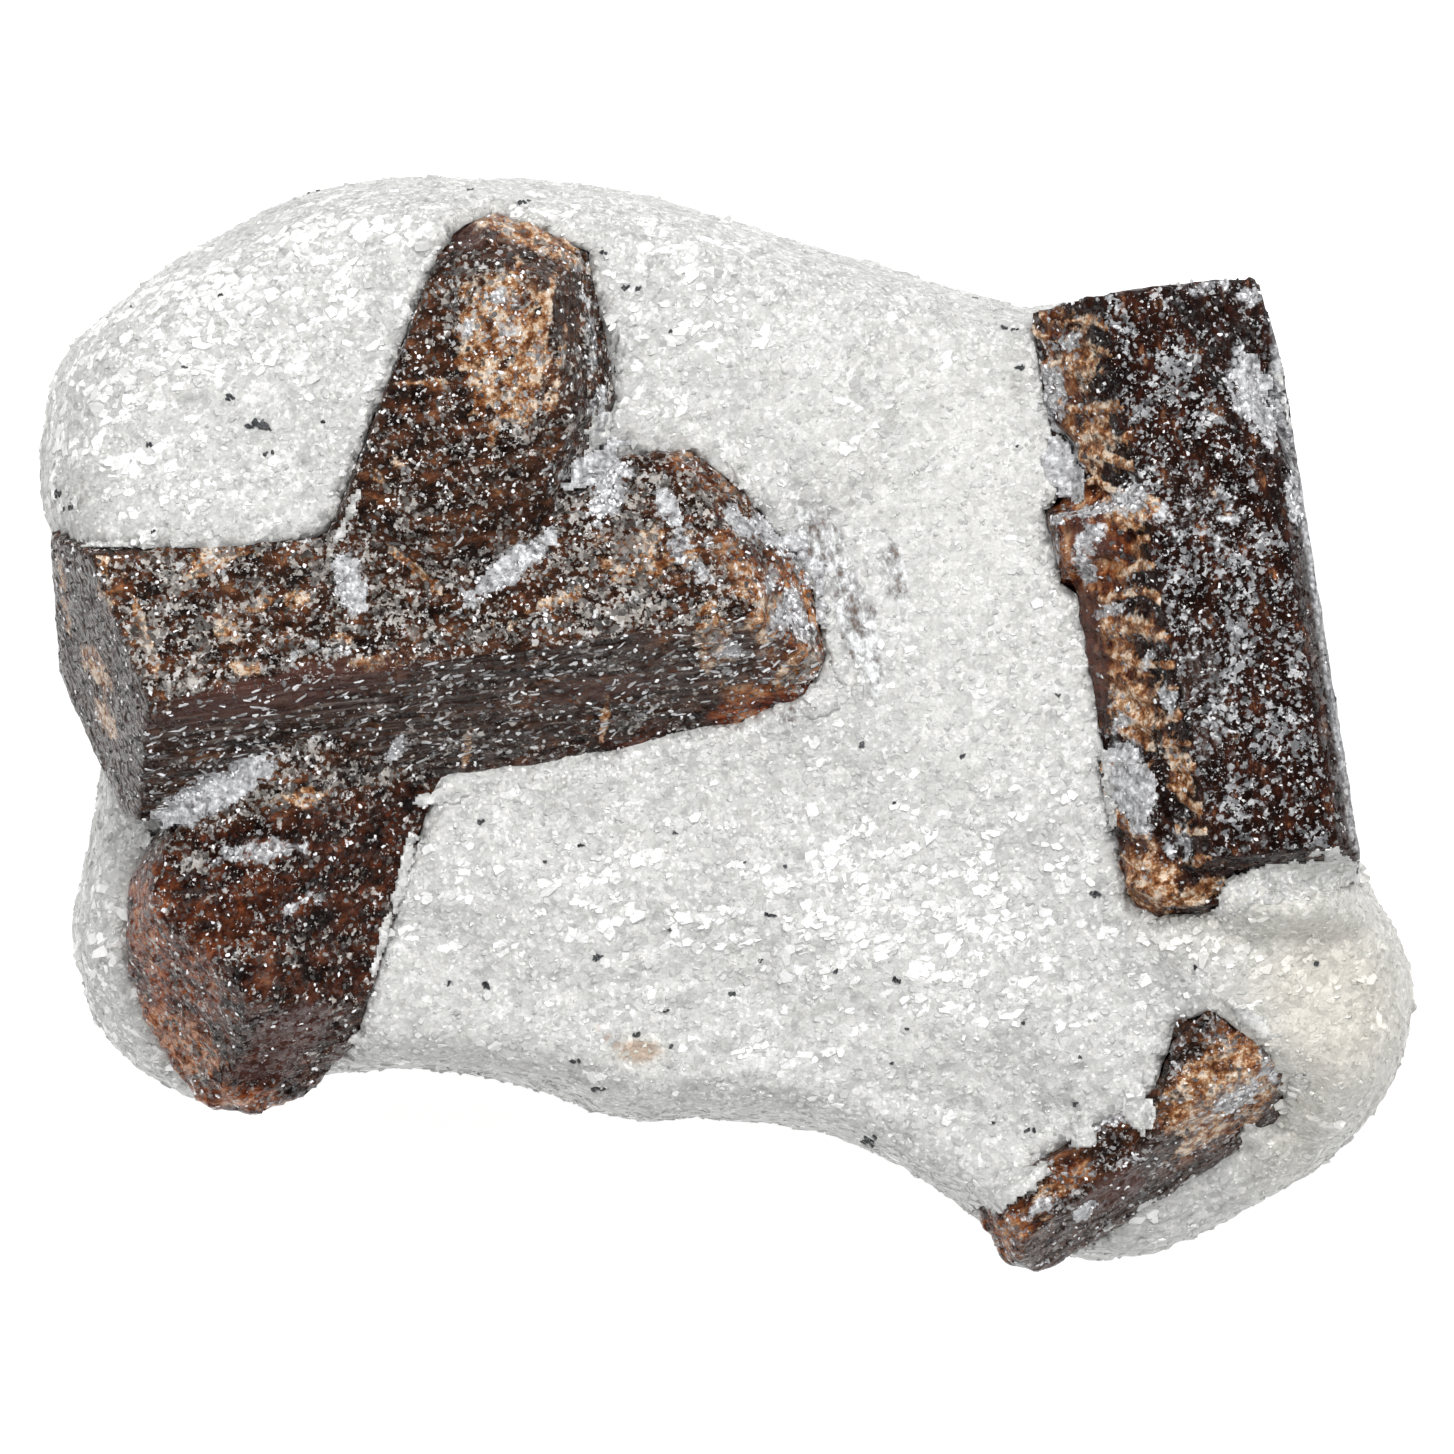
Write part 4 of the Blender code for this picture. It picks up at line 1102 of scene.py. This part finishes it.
SLOTS = {
    "schist": (rock, coarse, fine, white, sides, below, grains, specks, slivers, crusts),
    "staurolite_cross": (cross,),
    "staurolite_long": (blade,),
    "staurolite_corner": (corner,),
}
for slot, pieces in SLOTS.items():
    for piece in pieces:
        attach(piece, "root")


# Stage, camera and lights
FLOOR_SIZE = 4.0
FLOOR_GAP = 0.0002
bpy.ops.mesh.primitive_plane_add(size=FLOOR_SIZE, location=(0.0, 0.0, -FLOOR_GAP))
floor = bpy.context.object
floor.name = "floor"
floor.data.materials.append(floor_material())

CAMERA_HEIGHT = 1.2
FOCUS_HEIGHT = 0.012
SENSOR_WIDTH = 36.0
camera_data = bpy.data.cameras.new("camera")
camera_data.sensor_width = SENSOR_WIDTH
camera_data.clip_start = 0.01
camera_data.lens = SENSOR_WIDTH * (CAMERA_HEIGHT - FOCUS_HEIGHT) / (FRAME_PIXELS * PIXEL * MM)
camera = new_object("camera", camera_data)
middle_x, middle_y = from_photo(FRAME_PIXELS / 2.0, FRAME_PIXELS / 2.0)
camera.location = (middle_x * MM, middle_y * MM, CAMERA_HEIGHT)
bpy.context.scene.camera = camera

# Lamps: name, azimuth and elevation in degrees, size in metres, power in watts
LAMP_DISTANCE = 0.5
LAMPS = (
    ("key", 80.0, 54.0, 0.09, 1.3),
    ("key_left", 125.0, 64.0, 0.05, 0.42),
    ("key_right", 40.0, 66.0, 0.05, 0.42),
    ("left", 170.0, 48.0, 0.05, 0.38),
    ("right", 5.0, 50.0, 0.05, 0.38),
    ("low_left", 235.0, 60.0, 0.05, 0.36),
    ("low_right", 305.0, 48.0, 0.05, 0.36),
)


def lamp(name, azimuth, elevation, size, power):
    """A square soft light aimed at the middle of the specimen."""
    data = bpy.data.lights.new(name, "AREA")
    data.shape = "SQUARE"
    data.size = size
    data.energy = power
    turn, lift = math.radians(azimuth), math.radians(elevation)
    direction = Vector((math.cos(turn) * math.cos(lift), math.sin(turn) * math.cos(lift), math.sin(lift)))
    obj = new_object(name, data)
    obj.location = direction * LAMP_DISTANCE
    obj.rotation_euler = direction.to_track_quat("Z", "Y").to_euler()


for settings in LAMPS:
    lamp(*settings)

world = bpy.data.worlds.new("studio")
bpy.context.scene.world = world
world.use_nodes = True
sky = world.node_tree
upward = add(sky, "SeparateXYZ", {"Vector": add(sky, "TexCoord").outputs["Generated"]})
shade = ramp(sky, upward.outputs["Z"], [
    (0.0, (0.40,) * 3), (0.5, (0.32,) * 3), (0.8, (0.08,) * 3), (1.0, (0.03,) * 3)])
sky.links.new(shade, sky.nodes["Background"].inputs["Color"])
bpy.context.scene.view_settings.view_transform = "Standard"
